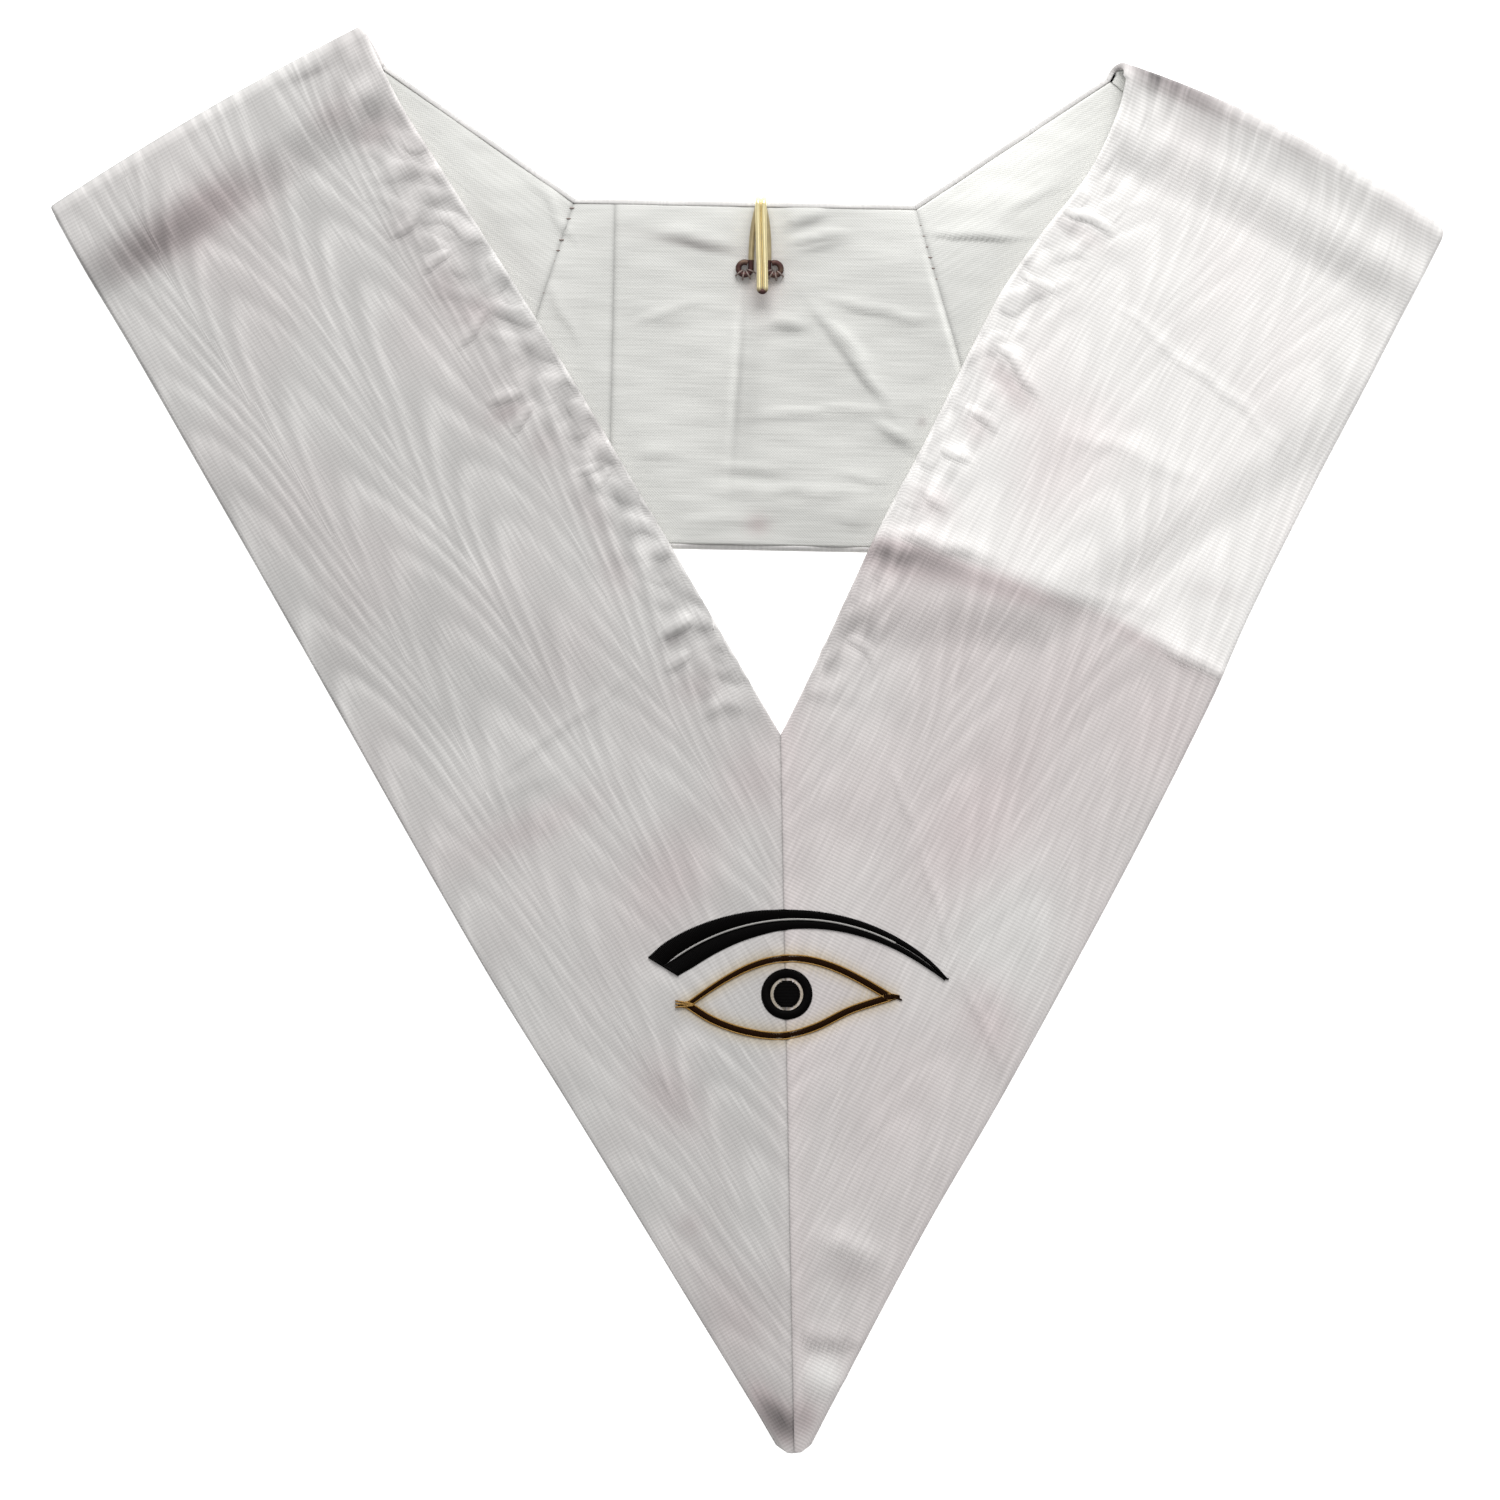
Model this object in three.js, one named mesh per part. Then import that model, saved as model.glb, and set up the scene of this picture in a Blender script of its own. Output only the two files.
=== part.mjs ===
// A white ribbon regalia collar, lying flat: two front bands that meet in a point, folded back at the
// shoulders over a lined neck strap, with an embroidered eye and a sew-on wire hook.
// Millimetres, +Z up, +X to the right, +Y from the point to the neck. The layout is worked out round the
// inner corner where the front bands meet, and the whole is then centred over its own base.

import * as THREE from 'three';
import { mergeVertices } from 'three/addons/utils/BufferGeometryUtils.js';

// Cloth
const RIBBON_WIDTH = 103;
const RIBBON_WALL = 1.0;
const LINING_WALL = 1.0;
const LINING_INSET = 1.6;
const GAP = 0.3;

// Neck strap, with its length and place measured on its top edge
const NECK_WIDTH = 100;
const NECK_LENGTH = 97.4;
const NECK_RISE = 152.7;
const NECK_SHIFT = -10.2;
const NECK_TILT = -1.1;
const LINING_SEAM = 11.5;

// Shoulder folds: the turn of the cloth between its two layers, and the roll that runs down from it
const TURN_RADIUS = 3.02;
const ROLL_FLAT = 12;
const ROLL_RUN = 16;

// Where a front band comes down from the straps beneath it
const RAMP_START = 12;

// The point is turned in square, a little short of where the outer edges would meet
const POINT_CUT = 7;
const POINT_ROUND = 2.5;

// Gathers along the inner edges of the front bands
const PUCKER_HEIGHT = 0.8;
const PUCKER_REACH = 15;
const PUCKER_FADE = 14;

// Embroidered eye, measured from the inner corner down the centre seam to the iris
const EYE_DROP = 74.6;
const EYE_LENGTH = 58;
const EYE_LID_RISE = 12.2;
const EYE_LID_DROP = 9.9;
const LIDS_SHIFT = 0.6;
const LIDS_FALL = 1.95;
const EYE_SHIFT = 0.4;
const EYE_TILT = 2.2;
const EYE_LINE = 1.7;
const EYE_CORNER = 1.6;
const IRIS_RADIUS = 7.3;
const IRIS_LINE = 2.2;
const PUPIL_RADIUS = 3.9;
const THREAD_RISE = 1.0;
const EYE_CLEARING = 48;

// Brow: an arc whose top is this far above the middle of the iris
const BROW_RADIUS = 61.3;
const BROW_RISE = 21.5;
const BROW_SHIFT = 3.0;
const BROW_LEFT = 38.6;
const BROW_RIGHT = 43.9;
const BROW_CUT = 1.6;
const BROW_THICKNESS = 10.3;

// Wire hook, measured from the top of its bend
const WIRE = 1.6;
const HOOK_SHIFT = 4.6;
const HOOK_OVERHANG = 1.2;
const HOOK_LENGTH = 28;
const HOOK_BEND = 1.9;
const HOOK_TONGUE_HALF = 1.05;
const HOOK_SHANK_HALF = 2.5;
const HOOK_EYE_DROP = 20.5;
const HOOK_EYE_RADIUS = 1.8;
const HOOK_EYE_SWEEP = 300;
const HOOK_TIP_DIP = 1.4;
const HOOK_CLEARING = 5;

// Stations along the hook: up the shank to the bend, and down the tongue to the tip, as shares
const SHANK_SHARES = [0.3, 0.6, 0.85];
const TONGUE_SHARES = [0.35, 0.7, 1];

// Each side's own lay. Edges: along is a share of the band's length from the inner corner, and inner and
// outer are how far each edge strays from a straight ribbon, as shares of the ribbon's width.
const SIDES = {
  left: {
    hand: -1,
    lean: 59.8,
    length: 235.8,
    foldBow: 1.5,
    tuckRun: 13.2,
    tuckShift: 0,
    rampRun: 24,
    puckers: 18,
    edges: [
      { along: -0.70, inner: 0.000, outer: 0.007 },
      { along: -0.27, inner: 0.000, outer: 0.028 },
      { along: -0.05, inner: 0.000, outer: 0.041 },
      { along: 0.40, inner: 0.001, outer: 0.029 },
      { along: 0.62, inner: 0.008, outer: 0.024 },
      { along: 0.80, inner: 0.024, outer: 0.021 },
      { along: 0.90, inner: 0.031, outer: 0.023 },
      { along: 1.00, inner: 0.014, outer: 0.018 },
    ],
  },
  right: {
    hand: 1,
    lean: 62.8,
    length: 215.9,
    foldBow: 4,
    tuckRun: 6,
    tuckShift: -4,
    rampRun: 16,
    puckers: 14,
    edges: [
      { along: -0.77, inner: 0.000, outer: -0.019 },
      { along: -0.50, inner: 0.000, outer: -0.011 },
      { along: -0.28, inner: 0.000, outer: 0.012 },
      { along: 0.05, inner: 0.000, outer: 0.028 },
      { along: 0.30, inner: -0.018, outer: 0.025 },
      { along: 0.43, inner: -0.015, outer: 0.010 },
      { along: 0.64, inner: -0.018, outer: 0.005 },
      { along: 0.74, inner: 0.006, outer: 0.006 },
      { along: 0.85, inner: 0.048, outer: 0.006 },
      { along: 0.94, inner: 0.042, outer: 0.006 },
      { along: 1.00, inner: 0.010, outer: 0.006 },
    ],
  },
};

// Ridges pressed into the front bands. along: share of the band's length. across, length and width:
// shares of the ribbon's width. turn: degrees from the band's run. height: share of the ribbon's wall.
const BAND_FOLDS = [
  { side: 'left', along: 0.39, across: 0.10, turn: 62, length: 0.26, width: 0.06, height: 0.9 },
  { side: 'left', along: -0.30, across: 0.62, turn: 24, length: 0.90, width: 0.10, height: 0.5 },
  { side: 'right', along: 0.35, across: 0.45, turn: 75, length: 0.95, width: 0.09, height: 0.9 },
  { side: 'right', along: -0.12, across: 0.66, turn: 132, length: 0.90, width: 0.07, height: 0.8 },
  { side: 'right', along: -0.58, across: 0.82, turn: 118, length: 0.42, width: 0.06, height: 0.7 },
  { side: 'right', along: 0.60, across: 0.16, turn: 55, length: 0.36, width: 0.08, height: 0.9 },
];

// Ridges in the lining round the neck. along: share of the neck's length from its left corner. down,
// length and width: shares of the neck strap's width. turn: degrees from the neck's top edge. height:
// share of the lining's wall.
const LINING_FOLDS = [
  { along: 0.46, down: 0.52, turn: -90, length: 0.46, width: 0.06, height: 0.6 },
  { along: 0.85, down: 0.49, turn: -60, length: 0.46, width: 0.06, height: 0.9 },
  { along: 0.72, down: 0.62, turn: 2, length: 0.46, width: 0.05, height: 0.6 },
  { along: 0.55, down: 0.79, turn: 0, length: 0.50, width: 0.05, height: 0.6 },
  { along: 0.66, down: 0.88, turn: -2, length: 0.56, width: 0.06, height: 0.8 },
  { along: 0.28, down: 0.32, turn: 18, length: 0.36, width: 0.06, height: 0.8 },
  { along: 0.24, down: 0.12, turn: -8, length: 0.34, width: 0.06, height: 0.7 },
  { along: 0.90, down: 0.30, turn: -16, length: 0.36, width: 0.06, height: 0.9 },
  { along: 0.84, down: 0.09, turn: 14, length: 0.26, width: 0.06, height: 0.8 },
  { along: 1.18, down: 0.10, turn: 0, length: 0.40, width: 0.05, height: 0.8 },
];

// Brow sections from left to right. half: share of half the brow's thickness.
const BROW_SECTIONS = [
  { along: 0.00, half: 0.92 },
  { along: 0.07, half: 1.00 },
  { along: 0.30, half: 0.74 },
  { along: 0.50, half: 0.50 },
  { along: 0.75, half: 0.36 },
  { along: 0.92, half: 0.28 },
  { along: 1.00, half: 0.10 },
];

// Lower lid sections from left to right. drop: share of the lower lid's depth.
const LOWER_LID = [
  { along: 0.00, drop: 0.00 },
  { along: 0.12, drop: 0.47 },
  { along: 0.28, drop: 0.84 },
  { along: 0.46, drop: 1.00 },
  { along: 0.62, drop: 0.80 },
  { along: 0.80, drop: 0.34 },
  { along: 1.00, drop: 0.00 },
];

// Mesh fineness
const TURN_STEPS = 7;
const TUCK_STEPS = 2;
const BAND_STEPS = 36;
const BAND_COLUMNS = [0, 0.06, 0.15, 0.32, 0.5, 0.68, 0.85];
const START_ROUNDS = 6;
const SHOULDER_GRID = { along: 9, down: 8 };
const NECK_END_GRID = { along: 3, down: 8 };
const NECK_GRID = { along: 14, down: 12 };
const THREAD_STEPS = 16;
const RING_SIDES = 24;
const EYE_ANGLE = 30;
const BEND_ANGLE = 36;
const WIRE_SIDES = 6;
const WIRE_STEPS = 104;
const MERGE_REACH = 1e-4;

// Materials
const ribbonMoire = new THREE.MeshStandardMaterial({ color: 0xdedad8, roughness: 0.45, metalness: 0 });
const liningCotton = new THREE.MeshStandardMaterial({ color: 0xdfe1da, roughness: 0.9, metalness: 0 });
const threadBlack = new THREE.MeshStandardMaterial({ color: 0x15130f, roughness: 0.5, metalness: 0 });
const threadGold = new THREE.MeshStandardMaterial({ color: 0x5a3a12, roughness: 0.5, metalness: 0 });
const brassWire = new THREE.MeshStandardMaterial({ color: 0xb79a55, roughness: 0.3, metalness: 1 });

// Heights of the surface between ribbon and lining: lying on its lining, and lying on its ribbon
const LAY_FACE_UP = LINING_WALL + GAP / 2;
const LAY_FACE_DOWN = RIBBON_WALL + GAP / 2;
const STACK = RIBBON_WALL + LINING_WALL + 2 * GAP;
const CREST = LAY_FACE_DOWN + 2 * TURN_RADIUS;
const FACE_TOP = LAY_FACE_UP + GAP / 2 + RIBBON_WALL;
const TURN_INSET = GAP / 2 + RIBBON_WALL + TURN_RADIUS;

const { lerp, clamp, degToRad } = THREE.MathUtils;

function smooth(share) {
  const s = clamp(share, 0, 1);
  return s * s * (3 - 2 * s);
}

// A smooth curve through one column of a table, held level beyond the table's ends.
function sample(rows, key, along) {
  const last = rows.length - 1;
  if (along <= rows[0].along) return rows[0][key];
  if (along >= rows[last].along) return rows[last][key];
  const i = rows.findIndex((row, k) => k < last && along < rows[k + 1].along);
  const slope = (k) => {
    const a = rows[Math.max(k - 1, 0)];
    const b = rows[Math.min(k + 1, last)];
    return (b[key] - a[key]) / (b.along - a.along);
  };
  const span = rows[i + 1].along - rows[i].along;
  const s = (along - rows[i].along) / span;
  const rise = s * s * (3 - 2 * s);
  const tangent = s * (1 - s) * span;
  return lerp(rows[i][key], rows[i + 1][key], rise)
    + tangent * ((1 - s) * slope(i) - s * slope(i + 1));
}

// A ridge: a rounded bar that fades to nothing at its ends and sides.
function ridge(dx, dy, turn, length, width) {
  const angle = degToRad(turn);
  const run = dx * Math.cos(angle) + dy * Math.sin(angle);
  const side = dy * Math.cos(angle) - dx * Math.sin(angle);
  return (1 - smooth(2 * Math.abs(run) / length)) * (1 - smooth(Math.abs(side) / width));
}

// Each band runs along 'run' from the inner corner, and 'across' points from its inner to its outer edge.
for (const side of Object.values(SIDES)) {
  const lean = degToRad(side.lean);
  side.run = new THREE.Vector2(side.hand * Math.cos(lean), Math.sin(lean));
  side.across = new THREE.Vector2(side.hand * Math.sin(lean), -Math.cos(lean));
}

function bandEdge(side, along, key) {
  return RIBBON_WIDTH * sample(side.edges, key, along / side.length);
}

function bandAcross(side, along, share) {
  const inner = bandEdge(side, along, 'inner');
  const outer = RIBBON_WIDTH + bandEdge(side, along, 'outer');
  return lerp(inner, outer, share);
}

function bandPlace(side, along, across) {
  return side.run.clone().multiplyScalar(along).addScaledVector(side.across, across);
}

function lineMeet(pointA, directionA, pointB, directionB) {
  const offset = pointB.clone().sub(pointA);
  const share = offset.cross(directionB) / directionA.cross(directionB);
  return pointA.clone().addScaledVector(directionA, share);
}

// The centre seam runs from the inner corner to where the two outer edges would meet.
function outerLine(side) {
  const row = side.edges[0];
  return bandPlace(side, row.along * side.length, RIBBON_WIDTH * (1 + row.outer));
}
const { left, right } = SIDES;
const pointCorner = lineMeet(outerLine(left), left.run, outerLine(right), right.run);
const seamRun = pointCorner.clone().normalize();
const POINT_REACH = pointCorner.length() - POINT_CUT;

function seamAlong(side, across) {
  const away = new THREE.Vector2(seamRun.y, -seamRun.x).multiplyScalar(-side.hand);
  return (GAP / 2 - across * side.across.dot(away)) / side.run.dot(away);
}

// The point's squared end, with its corner rounded off towards the outer edge.
function pointAlong(side, across, outer) {
  const short = Math.max(POINT_ROUND - (outer - across), 0);
  const rounded = POINT_ROUND - Math.sqrt(POINT_ROUND ** 2 - short ** 2);
  return (POINT_REACH - rounded - across * side.across.dot(seamRun)) / side.run.dot(seamRun);
}

// Where a band starts, at the centre seam or the point's end. The edges stray as the band runs, so the
// place is found in a few rounds.
function bandStart(side, share) {
  let along = 0;
  for (let round = 0; round < START_ROUNDS; round += 1) {
    const across = bandAcross(side, along, share);
    const outer = bandAcross(side, along, 1);
    along = Math.max(seamAlong(side, across), pointAlong(side, across, outer));
  }
  return along;
}

function bandFold(side, share) {
  return side.length + side.foldBow * (1 - (2 * share - 1) ** 2);
}

// Corners of the straps beneath: where the shoulder and neck seams meet the strap's two edges.
const neckTilt = degToRad(NECK_TILT);
const neckRun = new THREE.Vector2(Math.cos(neckTilt), Math.sin(neckTilt));
const neckDown = new THREE.Vector2(neckRun.y, -neckRun.x);
const neckMiddle = new THREE.Vector2(NECK_SHIFT, NECK_RISE);
const neckLow = neckMiddle.clone().addScaledVector(neckDown, NECK_WIDTH);

for (const side of Object.values(SIDES)) {
  const fold = side.length - side.tuckRun;
  const inner = bandEdge(side, side.length, 'inner') + side.tuckShift;
  const outer = RIBBON_WIDTH + bandEdge(side, side.length, 'outer') + side.tuckShift;
  side.seamTop = bandPlace(side, fold, inner);
  side.neckTop = neckMiddle.clone().addScaledVector(neckRun, side.hand * NECK_LENGTH / 2);
  side.strapRun = side.neckTop.clone().sub(side.seamTop).normalize();
  side.strapDown = new THREE.Vector2(side.strapRun.y, -side.strapRun.x).multiplyScalar(-side.hand);
  const strapLow = side.seamTop.clone().addScaledVector(side.strapDown, NECK_WIDTH);
  side.seamLow = lineMeet(strapLow, side.strapRun, bandPlace(side, 0, outer), side.run);
  side.neckLow = lineMeet(strapLow, side.strapRun, neckLow, neckRun);
}

// How far a front band is lifted by the straps beneath it, easing down past their lower edges.
function supportLift(side, place) {
  const pastStrap = place.clone().sub(side.seamLow).dot(side.strapDown);
  const pastNeck = place.clone().sub(neckLow).dot(neckDown);
  const past = Math.max(pastStrap, pastNeck) - RAMP_START;
  return STACK * (1 - smooth(past / side.rampRun));
}

function puckers(side, along, across) {
  const spacing = side.length / side.puckers;
  const wave = (1 - Math.cos(2 * Math.PI * along / spacing)) / 2;
  const inward = 1 - smooth(across / PUCKER_REACH);
  const start = smooth((along - PUCKER_FADE) / PUCKER_FADE);
  const end = smooth((side.length - 2 * PUCKER_FADE - along) / PUCKER_FADE);
  return PUCKER_HEIGHT * wave * inward * start * end;
}

// Pressed ridges, kept off the embroidery and the centre seam.
function bandRelief(side, along, across) {
  const place = bandPlace(side, along, across);
  const fromEye = (place.distanceTo(eyeMiddle) - EYE_CLEARING) / PUCKER_FADE;
  const fromSeam = Math.abs(place.cross(seamRun)) / PUCKER_FADE;
  let height = 0;
  for (const fold of BAND_FOLDS) {
    if (SIDES[fold.side] !== side) continue;
    const dx = along - fold.along * side.length;
    const dy = across - fold.across * RIBBON_WIDTH;
    const shape = ridge(dx, dy, fold.turn, fold.length * RIBBON_WIDTH, fold.width * RIBBON_WIDTH);
    height = Math.max(height, fold.height * RIBBON_WALL * shape);
  }
  return height * smooth(fromEye) * smooth(fromSeam);
}

function layHeight(side, along, across, turnStart) {
  const lift = supportLift(side, bandPlace(side, along, across));
  const lying = LAY_FACE_UP + lift + puckers(side, along, across) + bandRelief(side, along, across);
  const roll = smooth((along - turnStart + ROLL_FLAT + ROLL_RUN) / ROLL_RUN);
  return lerp(lying, CREST, roll);
}

// Where the run beneath a fold ends, at the shoulder seam.
function tuckEnd(side, across) {
  const seam = side.seamLow.clone().sub(side.seamTop);
  const seamSlope = seam.dot(side.run) / seam.dot(side.across);
  const start = side.seamTop.dot(side.run);
  const end = start + (across - side.seamTop.dot(side.across)) * seamSlope;
  return end + (GAP / 2) * Math.hypot(1, seamSlope);
}

// One front band's surface between ribbon and lining, from the centre seam over the fold to the shoulder
// seam: rows of points along the band, each row running across it.
function bandSurface(side) {
  const pointShare = 1 - (POINT_CUT * side.across.dot(seamRun)) / RIBBON_WIDTH;
  const shares = [...BAND_COLUMNS, pointShare, 1];
  const columns = shares.map((share) => {
    const column = [];
    const start = bandStart(side, share);
    const turnStart = bandFold(side, share) - TURN_INSET;
    for (let i = 0; i <= BAND_STEPS; i += 1) {
      const along = lerp(start, turnStart, i / BAND_STEPS);
      const across = bandAcross(side, along, share);
      const place = bandPlace(side, along, across);
      column.push(new THREE.Vector3(place.x, place.y, layHeight(side, along, across, turnStart)));
    }
    const foldAcross = bandAcross(side, side.length, share);
    for (let i = 1; i <= TURN_STEPS; i += 1) {
      const angle = Math.PI * i / TURN_STEPS;
      const along = turnStart + TURN_RADIUS * Math.sin(angle);
      const across = foldAcross + side.tuckShift * (1 - Math.cos(angle)) / 2;
      const place = bandPlace(side, along, across);
      column.push(new THREE.Vector3(place.x, place.y, CREST - TURN_RADIUS * (1 - Math.cos(angle))));
    }
    const tuckAcross = foldAcross + side.tuckShift;
    for (let i = 1; i <= TUCK_STEPS; i += 1) {
      const along = lerp(turnStart, tuckEnd(side, tuckAcross), i / TUCK_STEPS);
      const place = bandPlace(side, along, tuckAcross);
      column.push(new THREE.Vector3(place.x, place.y, LAY_FACE_DOWN));
    }
    return column;
  });
  return columns[0].map((_, i) => columns.map((column) => column[i]));
}

// The wall between two offsets of a grid of points, measured along the grid's own normals, which point up
// at its first point. Trim draws in its two long edges, and the wall is closed round its rim.
function wallGeometry(rows, low, high, trim = 0) {
  const rowCount = rows.length;
  const columnCount = rows[0].length;
  const step = (i, j) => rows[clamp(i, 0, rowCount - 1)][clamp(j, 0, columnCount - 1)];
  const normals = rows.map((row, i) => row.map((_, j) => {
    const down = step(i + 1, j).clone().sub(step(i - 1, j));
    const over = step(i, j + 1).clone().sub(step(i, j - 1));
    return down.cross(over).normalize();
  }));
  const hand = Math.sign(normals[0][0].z);
  const positions = [];
  for (const offset of [high, low]) {
    rows.forEach((row, i) => row.forEach((point, j) => {
      const moved = point.clone().addScaledVector(normals[i][j], hand * offset);
      if (j === 0) moved.addScaledVector(row[1].clone().sub(row[0]).normalize(), trim);
      if (j === columnCount - 1) moved.addScaledVector(row[j - 1].clone().sub(row[j]).normalize(), trim);
      positions.push(moved.x, moved.y, moved.z);
    }));
  }
  const half = rowCount * columnCount;
  const at = (i, j, layer) => layer * half + i * columnCount + j;
  const faces = [];
  const quad = (a, b, c, d) => {
    if (hand > 0) faces.push(a, b, c, a, c, d);
    else faces.push(a, c, b, a, d, c);
  };
  for (let i = 0; i < rowCount - 1; i += 1) {
    for (let j = 0; j < columnCount - 1; j += 1) {
      quad(at(i, j, 0), at(i + 1, j, 0), at(i + 1, j + 1, 0), at(i, j + 1, 0));
      quad(at(i, j, 1), at(i, j + 1, 1), at(i + 1, j + 1, 1), at(i + 1, j, 1));
    }
    const end = columnCount - 1;
    quad(at(i, 0, 0), at(i, 0, 1), at(i + 1, 0, 1), at(i + 1, 0, 0));
    quad(at(i, end, 0), at(i + 1, end, 0), at(i + 1, end, 1), at(i, end, 1));
  }
  for (let j = 0; j < columnCount - 1; j += 1) {
    const end = rowCount - 1;
    quad(at(0, j, 0), at(0, j + 1, 0), at(0, j + 1, 1), at(0, j, 1));
    quad(at(end, j, 0), at(end, j, 1), at(end, j + 1, 1), at(end, j + 1, 0));
  }
  const geometry = new THREE.BufferGeometry();
  geometry.setAttribute('position', new THREE.Float32BufferAttribute(positions, 3));
  geometry.setIndex(faces);
  geometry.computeVertexNormals();
  return geometry;
}

// The corners of a panel with each edge moved inwards; edge k runs from corner k to the next one.
function insetCorners(corners, insets) {
  const middle = corners.reduce((sum, corner) => sum.add(corner), new THREE.Vector2());
  middle.divideScalar(corners.length);
  const edges = corners.map((corner, k) => {
    const run = corners[(k + 1) % corners.length].clone().sub(corner).normalize();
    const inward = new THREE.Vector2(-run.y, run.x);
    if (middle.clone().sub(corner).dot(inward) < 0) inward.negate();
    return { start: corner.clone().addScaledVector(inward, insets[k]), run };
  });
  return edges.map((edge, k) => {
    const before = edges[(k + edges.length - 1) % edges.length];
    return lineMeet(before.start, before.run, edge.start, edge.run);
  });
}

// Pressed ridges of the lining where it shows: not under the front bands, nor under the hook.
function liningRelief(place) {
  const offset = place.clone().sub(neckStart);
  let shown = smooth(hookDistance(place) / HOOK_CLEARING - 1);
  for (const side of Object.values(SIDES)) {
    const along = place.dot(side.run);
    const covered = place.dot(side.across) - bandEdge(side, along, 'inner');
    shown *= smooth(-covered / PUCKER_FADE);
  }
  let height = 0;
  for (const fold of LINING_FOLDS) {
    const dx = offset.dot(neckRun) - fold.along * NECK_LENGTH;
    const dy = fold.down * NECK_WIDTH - offset.dot(neckDown);
    const shape = ridge(dx, dy, fold.turn, fold.length * NECK_WIDTH, fold.width * NECK_WIDTH);
    height = Math.max(height, fold.height * LINING_WALL * shape);
  }
  return height * shown;
}

// A four-sided panel of the straps, from the surface between its ribbon and its lining.
function panelSurface(corners, alongSteps, downSteps, relief) {
  const rows = [];
  for (let i = 0; i <= alongSteps; i += 1) {
    const top = corners[0].clone().lerp(corners[1], i / alongSteps);
    const low = corners[3].clone().lerp(corners[2], i / alongSteps);
    const row = [];
    for (let j = 0; j <= downSteps; j += 1) {
      const place = top.clone().lerp(low, j / downSteps);
      row.push(new THREE.Vector3(place.x, place.y, LAY_FACE_DOWN + relief(place)));
    }
    rows.push(row);
  }
  return rows;
}

function ribbonPanel(corners, insets) {
  const rows = panelSurface(insetCorners(corners, insets), 1, 1, () => 0);
  return wallGeometry(rows, -GAP / 2 - RIBBON_WALL, -GAP / 2);
}

function liningPanel(corners, insets, grid) {
  const rows = panelSurface(insetCorners(corners, insets), grid.along, grid.down, liningRelief);
  return wallGeometry(rows, GAP / 2, GAP / 2 + LINING_WALL);
}

// Places of the embroidery and the hook
const eyeMiddle = seamRun.clone().multiplyScalar(EYE_DROP);
eyeMiddle.x += EYE_SHIFT;
const neckStart = left.neckTop;
const hookTop = neckMiddle.clone().addScaledVector(neckRun, HOOK_SHIFT);
hookTop.addScaledVector(neckDown, -HOOK_OVERHANG);

// How far a place on the lining lies from the line that the hook covers.
function hookDistance(place) {
  const down = clamp(place.clone().sub(hookTop).dot(neckDown), 0, HOOK_LENGTH);
  return place.distanceTo(hookTop.clone().addScaledVector(neckDown, down));
}

function mergedExtrusion(shape, options) {
  const geometry = new THREE.ExtrudeGeometry(shape, options);
  geometry.deleteAttribute('normal');
  geometry.deleteAttribute('uv');
  return mergeVertices(geometry, MERGE_REACH);
}

function threadGeometry(shape) {
  return mergedExtrusion(shape, { depth: THREAD_RISE, bevelEnabled: false });
}

// The brow follows an arc, with the half-widths of its sections on either side. Its left end is cut at a
// slant, so its upper side starts further to the left than its lower side.
function browShape() {
  const centre = new THREE.Vector2(BROW_SHIFT, BROW_RISE - BROW_RADIUS);
  const upper = [];
  const lower = [];
  for (let i = 0; i <= THREAD_STEPS; i += 1) {
    const share = i / THREAD_STEPS;
    const half = sample(BROW_SECTIONS, 'half', share) * BROW_THICKNESS / 2;
    const out = (start) => {
      const angle = degToRad(lerp(start, BROW_RIGHT, share));
      return new THREE.Vector2(Math.sin(angle), Math.cos(angle));
    };
    upper.push(centre.clone().addScaledVector(out(-BROW_LEFT - BROW_CUT), BROW_RADIUS + half));
    lower.push(centre.clone().addScaledVector(out(-BROW_LEFT + BROW_CUT), BROW_RADIUS - half));
  }
  return new THREE.Shape([...lower, ...upper.reverse()]);
}

// Both lids from corner to corner: the upper one half a sine wave, the lower one through its sections.
function lidPoints(offset) {
  const upper = [];
  const lower = [];
  for (let i = 1; i < THREAD_STEPS; i += 1) {
    const share = i / THREAD_STEPS;
    const x = lerp(-EYE_LENGTH / 2, EYE_LENGTH / 2, share);
    upper.push(new THREE.Vector2(x, EYE_LID_RISE * Math.sin(Math.PI * share)));
    lower.push(new THREE.Vector2(x, -EYE_LID_DROP * sample(LOWER_LID, 'drop', share)));
  }
  const leftCorner = new THREE.Vector2(-EYE_LENGTH / 2, 0);
  const rightCorner = new THREE.Vector2(EYE_LENGTH / 2, 0);
  const loop = [leftCorner, ...lower, rightCorner, ...upper.reverse()];
  return loop.map((point, i) => {
    const before = loop[(i + loop.length - 1) % loop.length];
    const after = loop[(i + 1) % loop.length];
    const run = after.clone().sub(before).normalize();
    const corner = point === leftCorner || point === rightCorner;
    const reach = corner ? offset * EYE_CORNER / (EYE_LINE / 2) : offset;
    return point.clone().addScaledVector(new THREE.Vector2(run.y, -run.x), reach);
  });
}

function eyeOutlineShape() {
  const shape = new THREE.Shape(lidPoints(EYE_LINE / 2));
  shape.holes.push(new THREE.Path(lidPoints(-EYE_LINE / 2)));
  return shape;
}

function discShape(radius, hole) {
  const ring = (r) => Array.from({ length: RING_SIDES }, (_, i) => {
    const angle = 2 * Math.PI * i / RING_SIDES;
    return new THREE.Vector2(r * Math.cos(angle), r * Math.sin(angle));
  });
  const shape = new THREE.Shape(ring(radius));
  if (hole > 0) shape.holes.push(new THREE.Path(ring(hole)));
  return shape;
}

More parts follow.
